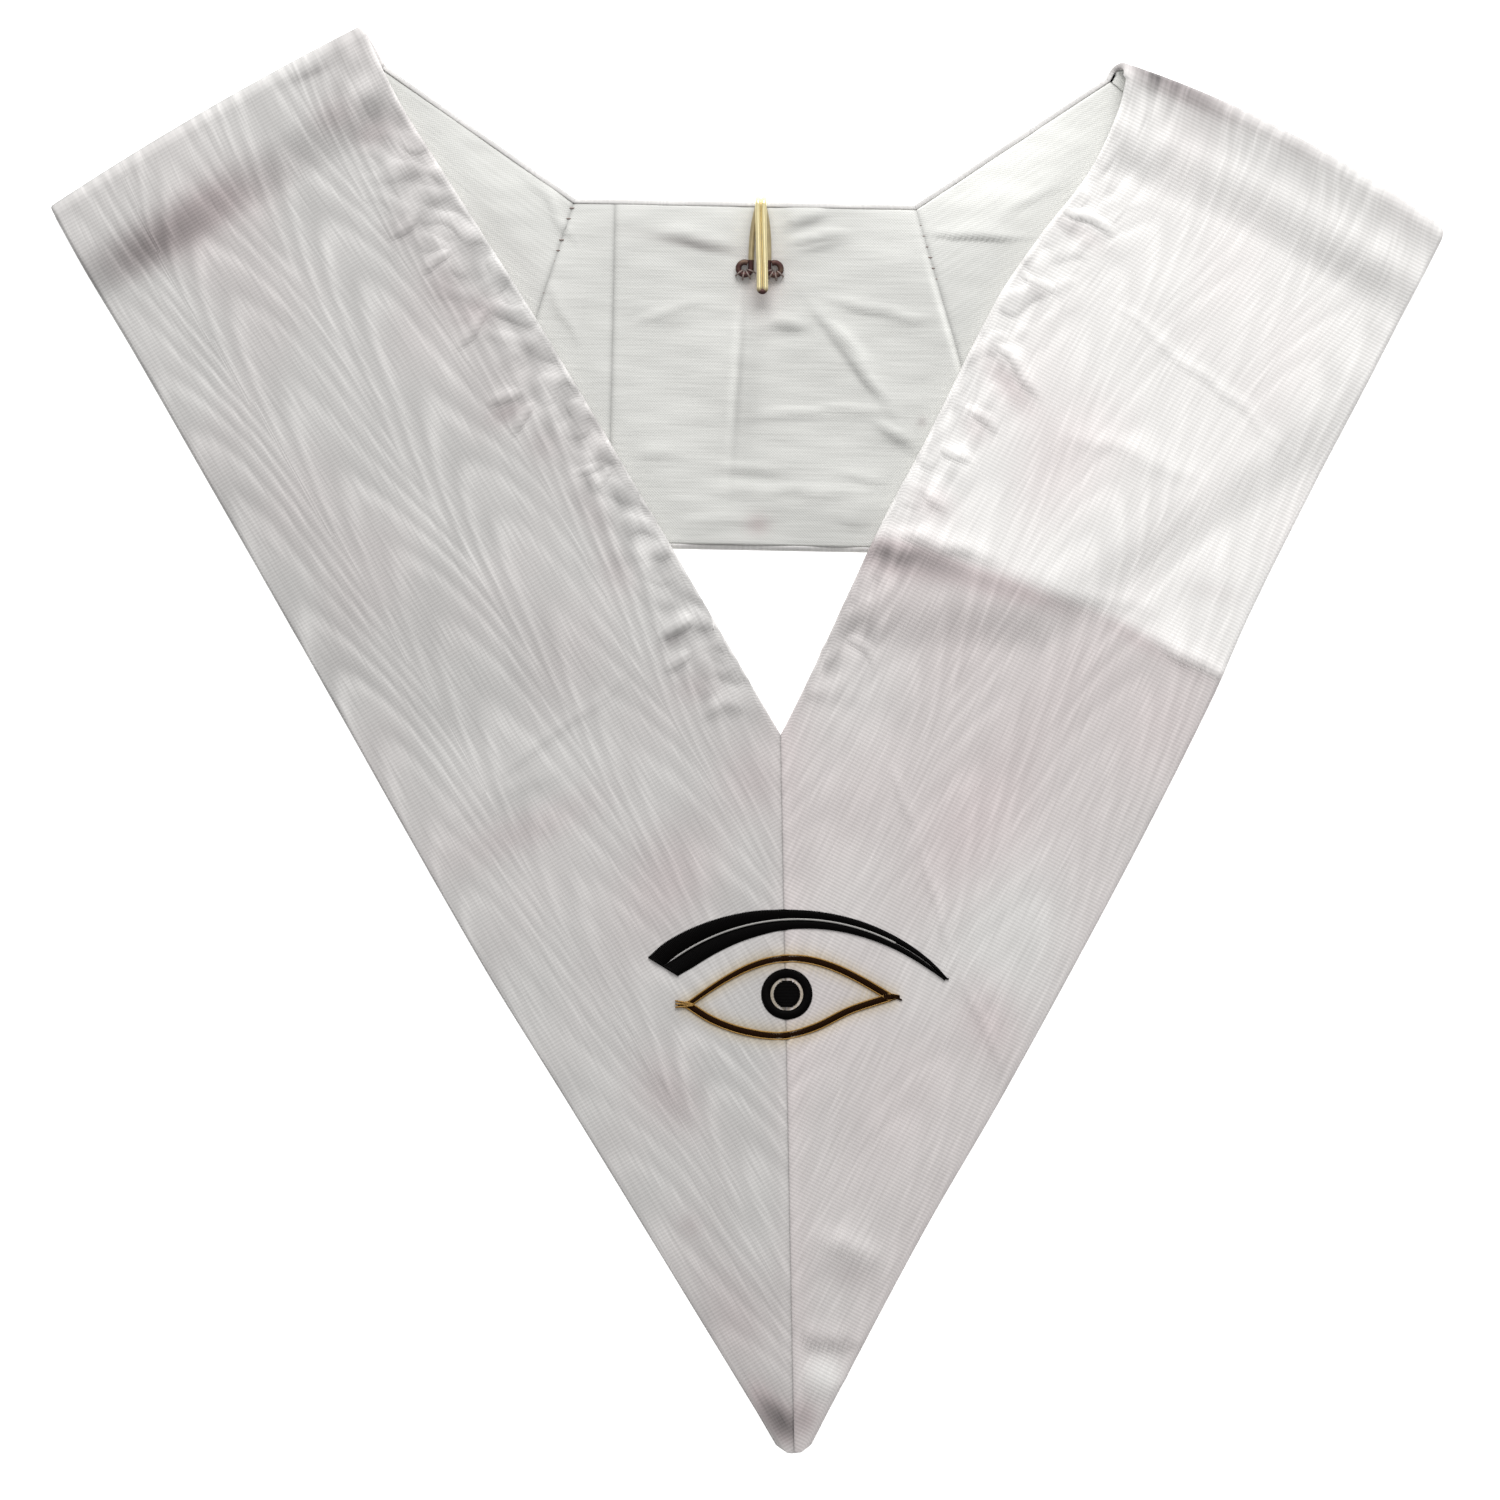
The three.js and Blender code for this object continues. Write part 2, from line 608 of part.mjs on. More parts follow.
// The left half of the hook's wire, from its sewing eye up the shank, over the bend and down the tongue.
// x is to the right, y is up from the top of the bend and z is up from the middle of the shank's wire.
function hookHalf() {
  const points = [];
  const bendTop = -WIRE / 2 - HOOK_BEND;
  for (let degrees = HOOK_EYE_SWEEP; degrees >= 0; degrees -= EYE_ANGLE) {
    const angle = degToRad(degrees);
    const x = HOOK_SHANK_HALF + HOOK_EYE_RADIUS * (1 - Math.cos(angle));
    points.push([x, -HOOK_EYE_DROP - HOOK_EYE_RADIUS * Math.sin(angle), 0]);
  }
  for (const share of SHANK_SHARES) {
    const x = lerp(HOOK_SHANK_HALF, HOOK_TONGUE_HALF, share ** 3);
    points.push([x, lerp(-HOOK_EYE_DROP, bendTop, share), 0]);
  }
  for (let degrees = 0; degrees <= 180; degrees += BEND_ANGLE) {
    const angle = degToRad(degrees);
    const z = HOOK_BEND * (1 - Math.cos(angle));
    points.push([HOOK_TONGUE_HALF, bendTop + HOOK_BEND * Math.sin(angle), z]);
  }
  const tipMiddle = -HOOK_LENGTH + WIRE / 2 + HOOK_TONGUE_HALF;
  for (const share of TONGUE_SHARES) {
    const z = 2 * HOOK_BEND - HOOK_TIP_DIP * share ** 2;
    points.push([HOOK_TONGUE_HALF, lerp(bendTop, tipMiddle, share), z]);
  }
  for (let degrees = EYE_ANGLE; degrees < 90; degrees += EYE_ANGLE) {
    const angle = degToRad(degrees);
    const x = HOOK_TONGUE_HALF * Math.cos(angle);
    points.push([x, tipMiddle - HOOK_TONGUE_HALF * Math.sin(angle), 2 * HOOK_BEND - HOOK_TIP_DIP]);
  }
  return points;
}

function hookGeometry() {
  const half = hookHalf();
  const tip = new THREE.Vector3(0, -HOOK_LENGTH + WIRE / 2, 2 * HOOK_BEND - HOOK_TIP_DIP);
  const down = half.map(([x, y, z]) => new THREE.Vector3(-x, y, z));
  const up = half.map(([x, y, z]) => new THREE.Vector3(x, y, z)).reverse();
  const path = new THREE.CatmullRomCurve3([...down, tip, ...up], false, 'centripetal');
  const section = new THREE.Shape(Array.from({ length: WIRE_SIDES }, (_, i) => {
    const angle = 2 * Math.PI * i / WIRE_SIDES;
    return new THREE.Vector2(WIRE / 2 * Math.cos(angle), WIRE / 2 * Math.sin(angle));
  }));
  return mergedExtrusion(section, { steps: WIRE_STEPS, extrudePath: path });
}

const collar = new THREE.Group();
const layout = new THREE.Group();
collar.add(layout);

// A strap's edges in turn: its long upper edge, a seam, its long lower edge and the other seam
const RIBBON_INSETS = [0, GAP / 2, 0, GAP / 2];
const LINING_INSETS = [LINING_INSET, GAP / 2, LINING_INSET, GAP / 2];

function addPiece(parent, name, geometry, material) {
  const mesh = new THREE.Mesh(geometry, material);
  mesh.name = name;
  parent.add(mesh);
  return mesh;
}

// Front bands and shoulder straps
for (const [name, side] of Object.entries(SIDES)) {
  const surface = bandSurface(side);
  const ribbon = wallGeometry(surface, GAP / 2, GAP / 2 + RIBBON_WALL);
  const lining = wallGeometry(surface, -GAP / 2 - LINING_WALL, -GAP / 2, LINING_INSET);
  addPiece(layout, `ribbon_front_${name}`, ribbon, ribbonMoire);
  addPiece(layout, `lining_front_${name}`, lining, liningCotton);
  const strap = [side.seamTop, side.neckTop, side.neckLow, side.seamLow];
  const strapRibbon = ribbonPanel(strap, RIBBON_INSETS);
  const strapLining = liningPanel(strap, LINING_INSETS, SHOULDER_GRID);
  addPiece(layout, `ribbon_shoulder_${name}`, strapRibbon, ribbonMoire);
  addPiece(layout, `lining_shoulder_${name}`, strapLining, liningCotton);
}

// Neck strap, whose lining has a seam near its left end
const neck = [left.neckTop, right.neckTop, right.neckLow, left.neckLow];
const seamHigh = neckStart.clone().addScaledVector(neckRun, LINING_SEAM);
const seamDeep = seamHigh.clone().addScaledVector(neckDown, NECK_WIDTH);
const neckEnd = liningPanel([neck[0], seamHigh, seamDeep, neck[3]], LINING_INSETS, NECK_END_GRID);
const neckMain = liningPanel([seamHigh, neck[1], neck[2], seamDeep], LINING_INSETS, NECK_GRID);
addPiece(layout, 'ribbon_neck', ribbonPanel(neck, RIBBON_INSETS), ribbonMoire);
addPiece(layout, 'lining_neck_end', neckEnd, liningCotton);
addPiece(layout, 'lining_neck', neckMain, liningCotton);

// Embroidery over the centre seam
const eye = new THREE.Group();
eye.position.set(eyeMiddle.x, eyeMiddle.y, FACE_TOP + GAP);
layout.add(eye);
const lids = addPiece(eye, 'eye_outline', threadGeometry(eyeOutlineShape()), threadGold);
lids.rotation.z = degToRad(EYE_TILT);
lids.position.set(LIDS_SHIFT, -LIDS_FALL, 0);
addPiece(eye, 'eye_brow', threadGeometry(browShape()), threadBlack);
addPiece(eye, 'eye_iris', threadGeometry(discShape(IRIS_RADIUS, IRIS_RADIUS - IRIS_LINE)), threadBlack);
addPiece(eye, 'eye_pupil', threadGeometry(discShape(PUPIL_RADIUS, 0)), threadBlack);

// Hook on the neck's lining
const hook = addPiece(layout, 'hook', hookGeometry(), brassWire);
hook.position.set(hookTop.x, hookTop.y, LAY_FACE_DOWN + GAP / 2 + LINING_WALL + GAP + WIRE / 2);
hook.rotation.z = neckTilt;

// Centred over its base
layout.updateMatrixWorld(true);
const bounds = new THREE.Box3().setFromObject(layout, true);
const middle = bounds.getCenter(new THREE.Vector3());
layout.position.set(-middle.x, -middle.y, -bounds.min.z);

export default collar;
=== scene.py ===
"""A white ribbon regalia collar laid flat: cloth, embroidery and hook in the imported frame, on a plain floor.

Lengths are millimetres in the layout of the source, which is measured from the inner corner where the two
front bands meet, with +X to the right and +Y from the point to the neck. They become metres in the mesh.
"""

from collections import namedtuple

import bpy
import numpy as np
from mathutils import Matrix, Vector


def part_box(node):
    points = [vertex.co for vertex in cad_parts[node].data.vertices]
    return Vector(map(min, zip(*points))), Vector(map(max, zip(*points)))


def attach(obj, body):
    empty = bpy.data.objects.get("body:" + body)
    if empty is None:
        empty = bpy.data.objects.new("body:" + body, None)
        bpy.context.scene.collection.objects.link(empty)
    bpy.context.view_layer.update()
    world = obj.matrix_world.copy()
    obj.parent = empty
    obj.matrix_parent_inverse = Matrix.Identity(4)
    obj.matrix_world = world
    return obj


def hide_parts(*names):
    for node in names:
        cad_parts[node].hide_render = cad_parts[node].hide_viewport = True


bl_info = {
    "name": "Ribbon Regalia Collar",
    "version": (1, 0, 0),
    "blender": (4, 5, 0),
    "location": "3D View > Sidebar > Collar",
    "description": "Builds a lined moire ribbon collar with an embroidered eye, laid flat",
    "category": "Add Mesh",
}

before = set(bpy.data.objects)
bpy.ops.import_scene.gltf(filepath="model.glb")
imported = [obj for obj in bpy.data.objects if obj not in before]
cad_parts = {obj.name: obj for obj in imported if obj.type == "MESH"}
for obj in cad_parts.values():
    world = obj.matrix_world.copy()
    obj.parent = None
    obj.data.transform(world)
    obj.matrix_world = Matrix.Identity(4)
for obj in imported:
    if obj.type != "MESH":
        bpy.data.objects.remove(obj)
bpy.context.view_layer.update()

MM = 0.001
BODY = "root"

# Cloth
RIBBON_WIDTH = 103.0
RIBBON_WALL = 1.0
LINING_WALL = 1.0
LINING_INSET = 1.6
GAP = 0.3
RIM_WIDTH = 1.56
RIM_CLEARANCE = 0.15
SEAM_MEET = 0.03
LINING_DIP = 0.22
LINING_SLACK = 0.5
# Painted shadow along the linings' seams at the panels' ends, and its width
LINING_SEAM_SHADOW = 0.3
LINING_LINE = 0.8
LINING_PATCHES = 0.06
LINING_DIP_WIDTH = 0.9
COVERED_FADE = 9.0

# Relief of the front bands. Gathers are bars across the inner edge and pillows between them: a drawn bar
# strays, slants, widens, reaches and rises by up to the amounts that follow its own.
SEAM_SWELL = 0.25
WELT_GROOVE = 1.1
WELT_WIDTH = 6.0
SWELL_RISE = 0.6
SWELL_SIZE = 70.0
BAR_STRAY = 0.3
BAR_SLANT = 0.45
BAR_WIDTH = 3.4
BAR_WIDER = 1.2
BAR_STEEP = 0.75
BAR_FLAT = 3.0
BAR_REACH = 14.0
BAR_FURTHER = 6.0
BAR_RISE = 0.7
BAR_TALLER = 0.3
BAR_SHARE = 0.55
PILLOW_SIZE = 8.5
PILLOW_REACHES = (17.0, 31.0)
PILLOW_SHARE = 0.7
GATHERS_START = 4.0
GATHERS_GROW = 18.0
GATHERS_END = 26.0
GATHERS_FADE = 14.0

# Neck strap
NECK_WIDTH = 100.0
NECK_LENGTH = 97.4
NECK_RISE = 152.7
NECK_SHIFT = -10.2
NECK_TILT = -1.1
LINING_SEAM = 11.5

# Shoulder folds and the step down from the straps
TURN_RADIUS = 3.02
ROLL_FLAT = 12.0
ROLL_RUN = 16.0
RAMP_START = 12.0

# Point
POINT_CUT = 7.0
POINT_ROUND = 2.5

# Embroidered eye. THREAD_OVER: how far a stitch reaches past the line that it is drawn from.
EYE_DROP = 74.6
EYE_LENGTH = 58.0
EYE_LID_RISE = 12.2
EYE_LID_DROP = 9.9
LIDS_SHIFT = 0.6
LIDS_FALL = 1.95
EYE_SHIFT = 0.4
EYE_TILT = 2.2
EYE_LINE = 1.7
EYE_TIP = 2.6
EYE_CLEARING = 48.0
EYE_FADE = 14.0
IRIS_RADIUS = 7.3
IRIS_LINE = 2.2
PUPIL_RADIUS = 3.9
BROW_RADIUS = 61.3
BROW_RISE = 21.5
BROW_SHIFT = 3.0
BROW_LEFT = 38.6
BROW_RIGHT = 43.9
BROW_CUT = 1.6
BROW_THICKNESS = 10.3
BROW_GROOVE = 0.2
BROW_SLANT = 0.012
BROW_MIDDLE_RUN = (0.045, 0.8)
LID_FILL = 0.95
LID_EDGE_PLACE = 1.15
LID_TIP_BREADTH = 0.35
LID_TIP_STEPS = 10
LID_THIN = 0.65
LID_THIN_SHARE = 0.55
LID_RISE = 0.6
THREAD_OVER = 0.18

# Threads laid along a line of the eye: radius, and height over the ribbon
Laid = namedtuple("Laid", "radius height")
BROW_EDGE = Laid(0.3, 0.25)
BROW_TAIL = Laid(0.26, 0.16)
BROW_MIDDLE = Laid(0.27, 0.6)
LID_EDGE = Laid(0.22, 0.12)
LID_TIP = Laid(0.24, 0.4)
LID_TAIL = Laid(0.3, 0.12)

# Where threads stray past the ends of the brow and the lids
BROW_TAIL_RUN = (-3.4, 0.9)
BROW_TAIL_RISE = 2.4
LID_TIP_RUN = (1.6, -3.6)
LID_TIP_LIFTS = (1.2, 0.3, -0.7)
LID_TAIL_RUN = (0.0, 3.4)
LID_TAIL_FALL = 0.9

# Wire hook, measured from the top of its bend. HOOK_LEAN: how far the tongue's tip leans to the right.
WIRE = 1.6
HOOK_SHIFT = 4.6
HOOK_OVERHANG = 1.2
HOOK_LENGTH = 28.0
HOOK_BEND = 1.9
HOOK_TONGUE_HALF = 0.85
HOOK_SHANK_HALF = 2.5
HOOK_EYE_DROP = 20.5
HOOK_EYE_RADIUS = 1.8
HOOK_EYE_SWEEP = 300.0
HOOK_TIP_DIP = 1.4
HOOK_CLEARING = 5.0
HOOK_LEAN = 0.9

# Stitches of sewing thread: through the hook's eyes, down the point and on the neck strap's seams
HOOK_STITCH_TURNS = np.radians([200, 240, 280, 320])
HOOK_STITCH_IN = 1.1
HOOK_STITCH_OUT = 1.5
HOOK_STITCH_RISE = 2.3
HOOK_STITCH_PITCH = 0.4
SEAM_STITCH_PITCH = 0.34
POINT_STITCH_PLACES = np.arange(158.0, 201.0, 2.75)
POINT_STITCH_BESIDE = 0.9
POINT_STITCH_LENGTH = 1.5
POINT_STITCH_RISE = 0.18
POINT_STITCH_SUNK = 0.05
NECK_STITCH_PLACES = np.arange(3.0, 30.0, 3.2)
NECK_STITCH_LENGTH = 1.4
NECK_STITCH_RISE = 0.25

# Stage, in metres. lean: a lamp's turn about +X.
FLOOR_HALF = 4.0
FLOOR_DEPTH = 0.2 * MM
SENSOR_WIDTH = 36.0
CAMERA_PLACE = (0.00093, -0.00308)
FOCUS_HEIGHT = 0.0035
Lamp = namedtuple("Lamp", "size place lean")
LAMPS = {
    "key": Lamp((1.3, 0.6), (0.15, 1.35, 0.85), -np.arctan2(1.35, 0.85)),
    "top": Lamp((0.5, 0.5), (0.0, 0.05, 1.2), 0.0),
}

# Each side's own lay. Edges: along is a share of the band's length from the inner corner, and inner and
# outer are how far each edge strays from a straight ribbon, as shares of the ribbon's width.
Lay = namedtuple("Lay", "hand lean length fold_bow tuck_run tuck_shift ramp_run gathers seed edges")
Edge = namedtuple("Edge", "along inner outer")
LAYS = {
    "left": Lay(-1, 59.8, 235.8, 1.5, 13.2, 0.0, 46.0, 18, 3, [
        Edge(-0.70, 0.000, 0.007),
        Edge(-0.27, 0.000, 0.028),
        Edge(-0.05, 0.000, 0.041),
        Edge(0.40, 0.001, 0.029),
        Edge(0.62, 0.008, 0.024),
        Edge(0.80, 0.024, 0.021),
        Edge(0.90, 0.031, 0.023),
        Edge(1.00, 0.014, 0.018),
    ]),
    "right": Lay(1, 62.8, 215.9, 4.0, 6.0, -4.0, 16.0, 14, 8, [
        Edge(-0.77, 0.000, -0.019),
        Edge(-0.50, 0.000, -0.011),
        Edge(-0.28, 0.000, 0.012),
        Edge(0.05, 0.000, 0.028),
        Edge(0.30, -0.018, 0.025),
        Edge(0.43, -0.015, 0.010),
        Edge(0.64, -0.018, 0.005),
        Edge(0.74, 0.006, 0.006),
        Edge(0.85, 0.048, 0.006),
        Edge(0.94, 0.042, 0.006),
        Edge(1.00, 0.010, 0.006),
    ]),
}

# Creases pressed into the cloth. x and y: middle of the crease. turn: degrees from +X. width: from its crest
# to its upper foot. rise: height of its crest. bow: how far its middle strays sideways from its ends. foot:
# its lower side's width as a share of its upper side's. lining: the creases of the straps' linings.
Crease = namedtuple("Crease", "x y turn length width rise bow foot", defaults=(0.0, 0.6))
CREASES = {
    "left": [
        (-28.5, 30.5, 32, 17, 3.4, 1.5, 0.8, 0.4),
        (-29, 21, 30, 12, 2.6, 0.9),
        (-16, 6.5, 10, 16, 3.5, 0.9, 1),
        (-50.9, 73.3, 58, 11, 1.8, 1),
        (-54, 76.5, 12, 15, 1.4, 0.7, -0.5, 0.4),
        (-72.9, 89.7, 60, 14, 2.4, 1, 1),
        (-78.4, 96, 22, 14, 3, 0.9, 0.6),
        (-88, 116, 52, 18, 2.6, 0.9, -1.2),
        (-97.6, 134.9, 40, 15, 2.4, 1, 1),
        (-108, 147, 50, 16, 3, 0.9, -1),
        (-134.5, 190, 25, 20, 3, 0.8, 0, 0.3),
        (-66.2, -1.5, 37.8, 80, 3, 0.25, 0.8, 0.5),
        (-79, -18, 26, 50, 8, 0.4, 1),
        (-33, -101, -52, 34, 6, 0.5, 1),
    ],
    "right": [
        (46, 53, -14, 46, 6, 1.2, 1, 0.5),
        (84, 42, -14, 62, 7, 0.7, -1, 0.7),
        (118, 20.5, -29, 34, 5, 1.1, 1, 0.3),
        (120, 101.4, -39.4, 88, 2.6, 0.5, 1.5, 1),
        (34.5, -18.5, -64, 26, 2.2, 0.5, 0.6, 1),
        (45, -47.5, -74, 44, 2.2, 0.5, -0.6, 1),
        (57.5, -83, -67, 40, 2.2, 0.5, 0.6, 1),
        (19, -148, -22, 26, 6, 1.2, 0.8, 0.8),
        (13, -172.5, -9, 22, 4.5, 1.2, 0, 0.9),
        (11, -185.5, -6, 16, 8, 0.9),
        (86.5, 146.5, -32, 26, 3.6, 1.2, 1.5, 0.5),
        (74, 129, -34, 16, 2.4, 0.9, 0.5, 0.5),
        (66, 105, -52, 30, 3.6, 1.1, 1.5, 0.6),
        (57, 91, -40, 18, 3, 0.9, -0.8),
        (50, 80, -24, 14, 3, 0.9, 0.8),
        (42, 67, -26, 16, 2.6, 0.8, 0.8),
        (96, 165, 58, 20, 3, 0.8, 1),
        (22, 24, -40, 16, 2.6, 0.7, 0.8),
        (100, 78, -18, 50, 8, 0.7, 2),
    ],
    "lining": [
        (-13.4, 103, 88, 48, 2.4, 0.36, 0.3, 0.5),
        (20.8, 107.5, -53, 40, 2.8, 0.81, 1, 0.8),
        (28.5, 122.8, -13, 42, 2.7, 0.72, -1.6, 0.9),
        (12.2, 92, 1.5, 46, 1.7, 0.63, 0.6, 0.8),
        (33, 85.5, -31, 19, 2.4, 0.72, 0.6, 0.5),
        (-8, 75.6, -3, 30, 1.8, 0.45, 0.4, 0.5),
        (24, 73.6, -10, 22, 1.8, 0.45, -0.5, 0.6),
        (2, 69.3, -2, 60, 3.6, 0.72, 0.8, 1),
        (-24, 142.2, -11, 28, 3.3, 0.81, -1, 0.5),
        (6.5, 148, 18, 18, 2.4, 0.72, 0.6, 0.6),
        (11, 141, 15, 25, 3, 0.9, 1.2, 0.6),
        (-31, 121.5, 17, 32, 3.3, 0.45, 0.6),
        (2.5, 117.6, -4, 14, 2.4, 0.63, 0.3, 0.6),
        (-39, 122.4, 0, 12, 1.4, 0.27),
        (56.3, 142.9, -1.5, 40, 3.8, 0.6, 0, 0.25),
        (-66, 150, -52, 30, 2.7, 0.63, 1),
        (72, 152, 30, 26, 3.3, 0.63, 1),
        (-63, 120, -64, 26, 2.7, 0.45, 1),
        (-40, 80, 4, 26, 2.4, 0.36, 0.6),
        (30, 62, -4, 40, 3, 0.36, -0.8),
        (-16, 60.5, 2, 34, 2.4, 0.36, 0.6),
    ],
}

# Light and dark places of the cloth: mostly painted shade and painted highlight of its folds, creases, puckers
# and seams, some with a pink tint. width: half across. tone: change of brightness. blush: pinkness. lining:
# those of the straps' linings, and of the front linings where they are turned over.
Mark = namedtuple("Mark", "x y turn length width tone blush")
SHADE_AND_BLUSH_MARKS = {
    "left": [
        (-180, 140, 29, 46, 7, -0.44, 1),
        (-163, 152, 29, 30, 6, -0.06, 0.5),
        (-148, 158, 29, 80, 8, -0.06, 0.3),
        (-168, 168, 27, 60, 6, 0.08, 0),
        (-127.6, 177, 25, 20, 5, -0.16, 0.5),
        (-117, 172, 29, 18, 4.5, -0.14, 0.5),
        (-134.5, 188.6, 24, 18, 1.3, -0.3, 0.1),
        (-108.4, 144, 30, 18, 6, -0.13, 0.2),
        (-96.1, 127.5, -60, 20, 5, -0.16, 0.3),
        (-98, 135.5, 40, 12, 2.5, 0.1, 0),
        (-86, 121, 20, 18, 5, -0.12, 0.5),
        (-78.4, 92, 20, 15, 3.2, -0.2, 0.5),
        (-72.9, 90, 55, 12, 2.4, 0.12, 0),
        (-68, 82.5, 0, 14, 4.5, -0.14, 0.3),
        (-53, 62, -60, 26, 4.5, -0.08, 0.4),
        (-50.9, 73.3, 60, 10, 2.2, 0.12, 0),
        (-46.8, 46.5, -55, 22, 5, -0.12, 0.4),
        (-31, 27, 32, 13, 1.8, -0.26, 0.2),
        (-24, 13.5, 15, 16, 4, -0.1, 0.3),
        (-13, 1, 20, 18, 4, 0.06, 0),
        (-9, -14, -60, 30, 8, -0.05, 0.4),
        (-45, 32, -55, 60, 18, 0.07, 0),
        (-66.2, -2.4, 37.8, 90, 1.2, -0.05, 0),
        (-72, -27, 24, 60, 6, -0.06, 0.5),
        (-30, -40, 62, 50, 16, -0.03, 0.7),
        (-52, -45, 0, 40, 7, 0.04, 0),
        (-31, -104, -52, 40, 8, -0.07, 0.6),
        (-26, -141, -20, 10, 3, -0.09, 0.3),
        (-14, -165, -62, 50, 9, -0.05, 0.4),
        (-4, -178, 0, 16, 7, 0.08, 0),
        (-1, -195.5, -42, 20, 4.5, -0.6, 1),
        (-6, -190, -60, 16, 3.5, -0.18, 0.8),
        (2.5, -199.5, -60, 12, 4, -0.25, 1),
    ],
    "right": [
        (36, 50.6, -12, 42, 4.6, -0.57, 1),
        (62, 43, -18, 48, 3.4, -0.2, 0.9),
        (104, 26, -30, 30, 2.4, -0.07, 0.3),
        (119, 17, -27, 22, 2, -0.12, 0.1),
        (124, 41, -12, 26, 4, -0.16, 0.2),
        (126, 60, 60, 56, 12, 0.14, 0),
        (110.5, 186, -26.5, 46, 3, -0.8, 0.8),
        (143, 170.5, -26, 60, 3.2, -0.2, 0.2),
        (165, 133, -20, 44, 5, -0.22, 0),
        (168.9, 117.2, -45, 30, 4.5, -0.14, 0),
        (159, 102, -30, 22, 5, -0.12, 0),
        (86, 143.5, -32, 24, 3.2, -0.28, 0.3),
        (73.5, 126.4, -40, 9, 2, -0.24, 0.1),
        (65.2, 100.4, -50, 30, 4, -0.24, 0.6),
        (56, 88, -60, 14, 4, -0.16, 0.4),
        (51.4, 81.4, -30, 12, 3, 0.14, 0),
        (44, 66, -30, 20, 5, -0.12, 0.4),
        (90, 160, 60, 24, 4, 0.1, 0),
        (124, 107, -39.4, 84, 6, -0.08, 0.1),
        (119.2, 100.4, -39.4, 86, 1.3, 0.08, 0),
        (75, 75, 60, 60, 12, -0.1, 0.4),
        (20, -155, -20, 22, 4.5, -0.12, 0.2),
        (14, -147, -22, 18, 4, 0.1, 0),
        (14.5, -174.6, -9, 22, 2.6, -0.18, 0.1),
        (12, -184, 80, 18, 6.5, 0.24, -0.5),
        (68, -52, 62, 70, 16, 0.09, -0.8),
        (60, -82, -67, 34, 8, -0.05, 0.6),
        (70, -20, 60, 120, 30, -0.01, 0.4),
        (5.5, -196, 60, 12, 4, -0.36, 0.8),
    ],
    "lining": [
        (-5, 130, 90, 26, 6, -0.02, 0.8),
        (-6.5, 60, 0, 10, 3, -0.09, 0.9),
        (10, 60.5, 0, 100, 4.5, -0.14, 0),
        (2, 67.4, -2, 80, 1.6, 0.09, 0),
        (-1, 73.6, -1, 34, 0.9, -0.14, 0),
        (-8.6, 101, 86, 60, 3.6, -0.1, 0),
        (-11.8, 101, 86, 58, 1, -0.18, 0),
        (-13.8, 101, 86, 58, 1, 0.12, 0),
        (19.2, 107.8, -53, 46, 1.2, -0.34, 0),
        (22, 110, -53, 40, 2.4, 0.07, 0),
        (2.1, 116, -4, 14, 1.8, -0.27, 0),
        (3, 90, 2, 46, 1, -0.24, 0),
        (14, 92.6, 1, 44, 0.8, 0.1, 0),
        (33.5, 83.8, -31, 19, 1.5, -0.3, 0),
        (-9.5, 74.6, -2, 24, 1, -0.18, 0),
        (40.5, 89.5, 0, 4, 1.5, -0.21, 0.4),
        (51.5, 83, 0, 8, 4, 0.06, 0),
        (-23.5, 140.2, -11, 26, 1.3, -0.27, 0.3),
        (7.5, 146.2, 18, 17, 1.4, -0.27, 0),
        (11.5, 139.2, 14, 22, 1.3, -0.3, 0),
        (-22, 149.5, -1, 70, 3.2, 0.11, 0),
        (-28, 141.6, -8, 50, 1.8, -0.12, 0.1),
        (46.9, 118.5, -73.5, 50, 0.9, 0.34, 0),
        (56, 142.2, -1.5, 42, 0.6, -0.42, 0),
        (-31, 118.5, 17, 34, 2, -0.06, 0),
        (30, 119.5, -14, 44, 1.2, -0.1, 0),
        (26, 130, -10, 50, 8, -0.05, 0),
        (-75, 135, -52, 60, 7, -0.03, 0.1),
        (62.9, 161.6, 33, 90, 14, 0.4, 0),
        (-80, 163, -35, 80, 12, 0.12, 0),
    ],
}

# The step of the right band down from the straps, from the inner edge outwards: the band's colour is painted
# brighter above it, as painted light
STEP_LINE = np.array([
    (20.0, 56.0),
    (42.8, 50.5),
    (62.9, 42.7),
    (80.1, 38.0),
    (97.3, 31.0),
    (111.6, 22.6),
    (126.0, 15.0),
])
STEP_BLUR = 5.0

# Painted highlight and shade round a cloth's two long edges, as change of brightness: the inner or upper one,
# and the outer or lower one. The left band's inner edge gets a painted highlight and its outer edge painted
# shade; the linings' edges get painted shadow beside the ribbon's turned rim
EDGE_LIGHT_AND_SHADE = {
    "front_band_left": (0.10, -0.25),
    "front_band_right": (0.0, 0.0),
    "shoulder_lining_left": (-0.25, 0.0),
    "shoulder_lining_right": (0.0, 0.0),
    "neck_lining_end": (-0.30, -0.10),
    "neck_lining": (-0.20, -0.10),
}

# Brow sections from left to right. half: share of half the brow's thickness.
BROW_SECTIONS = np.array([
    (0.00, 0.92),
    (0.07, 1.00),
    (0.30, 0.74),
    (0.50, 0.50),
    (0.75, 0.35),
    (0.92, 0.21),
    (1.00, 0.07),
])

# Lower lid sections from left to right. drop: share of the lower lid's depth.
LOWER_LID = np.array([
    (0.00, 0.00),
    (0.12, 0.47),
    (0.28, 0.84),
    (0.46, 1.00),
    (0.62, 0.80),
    (0.80, 0.34),
    (1.00, 0.00),
])

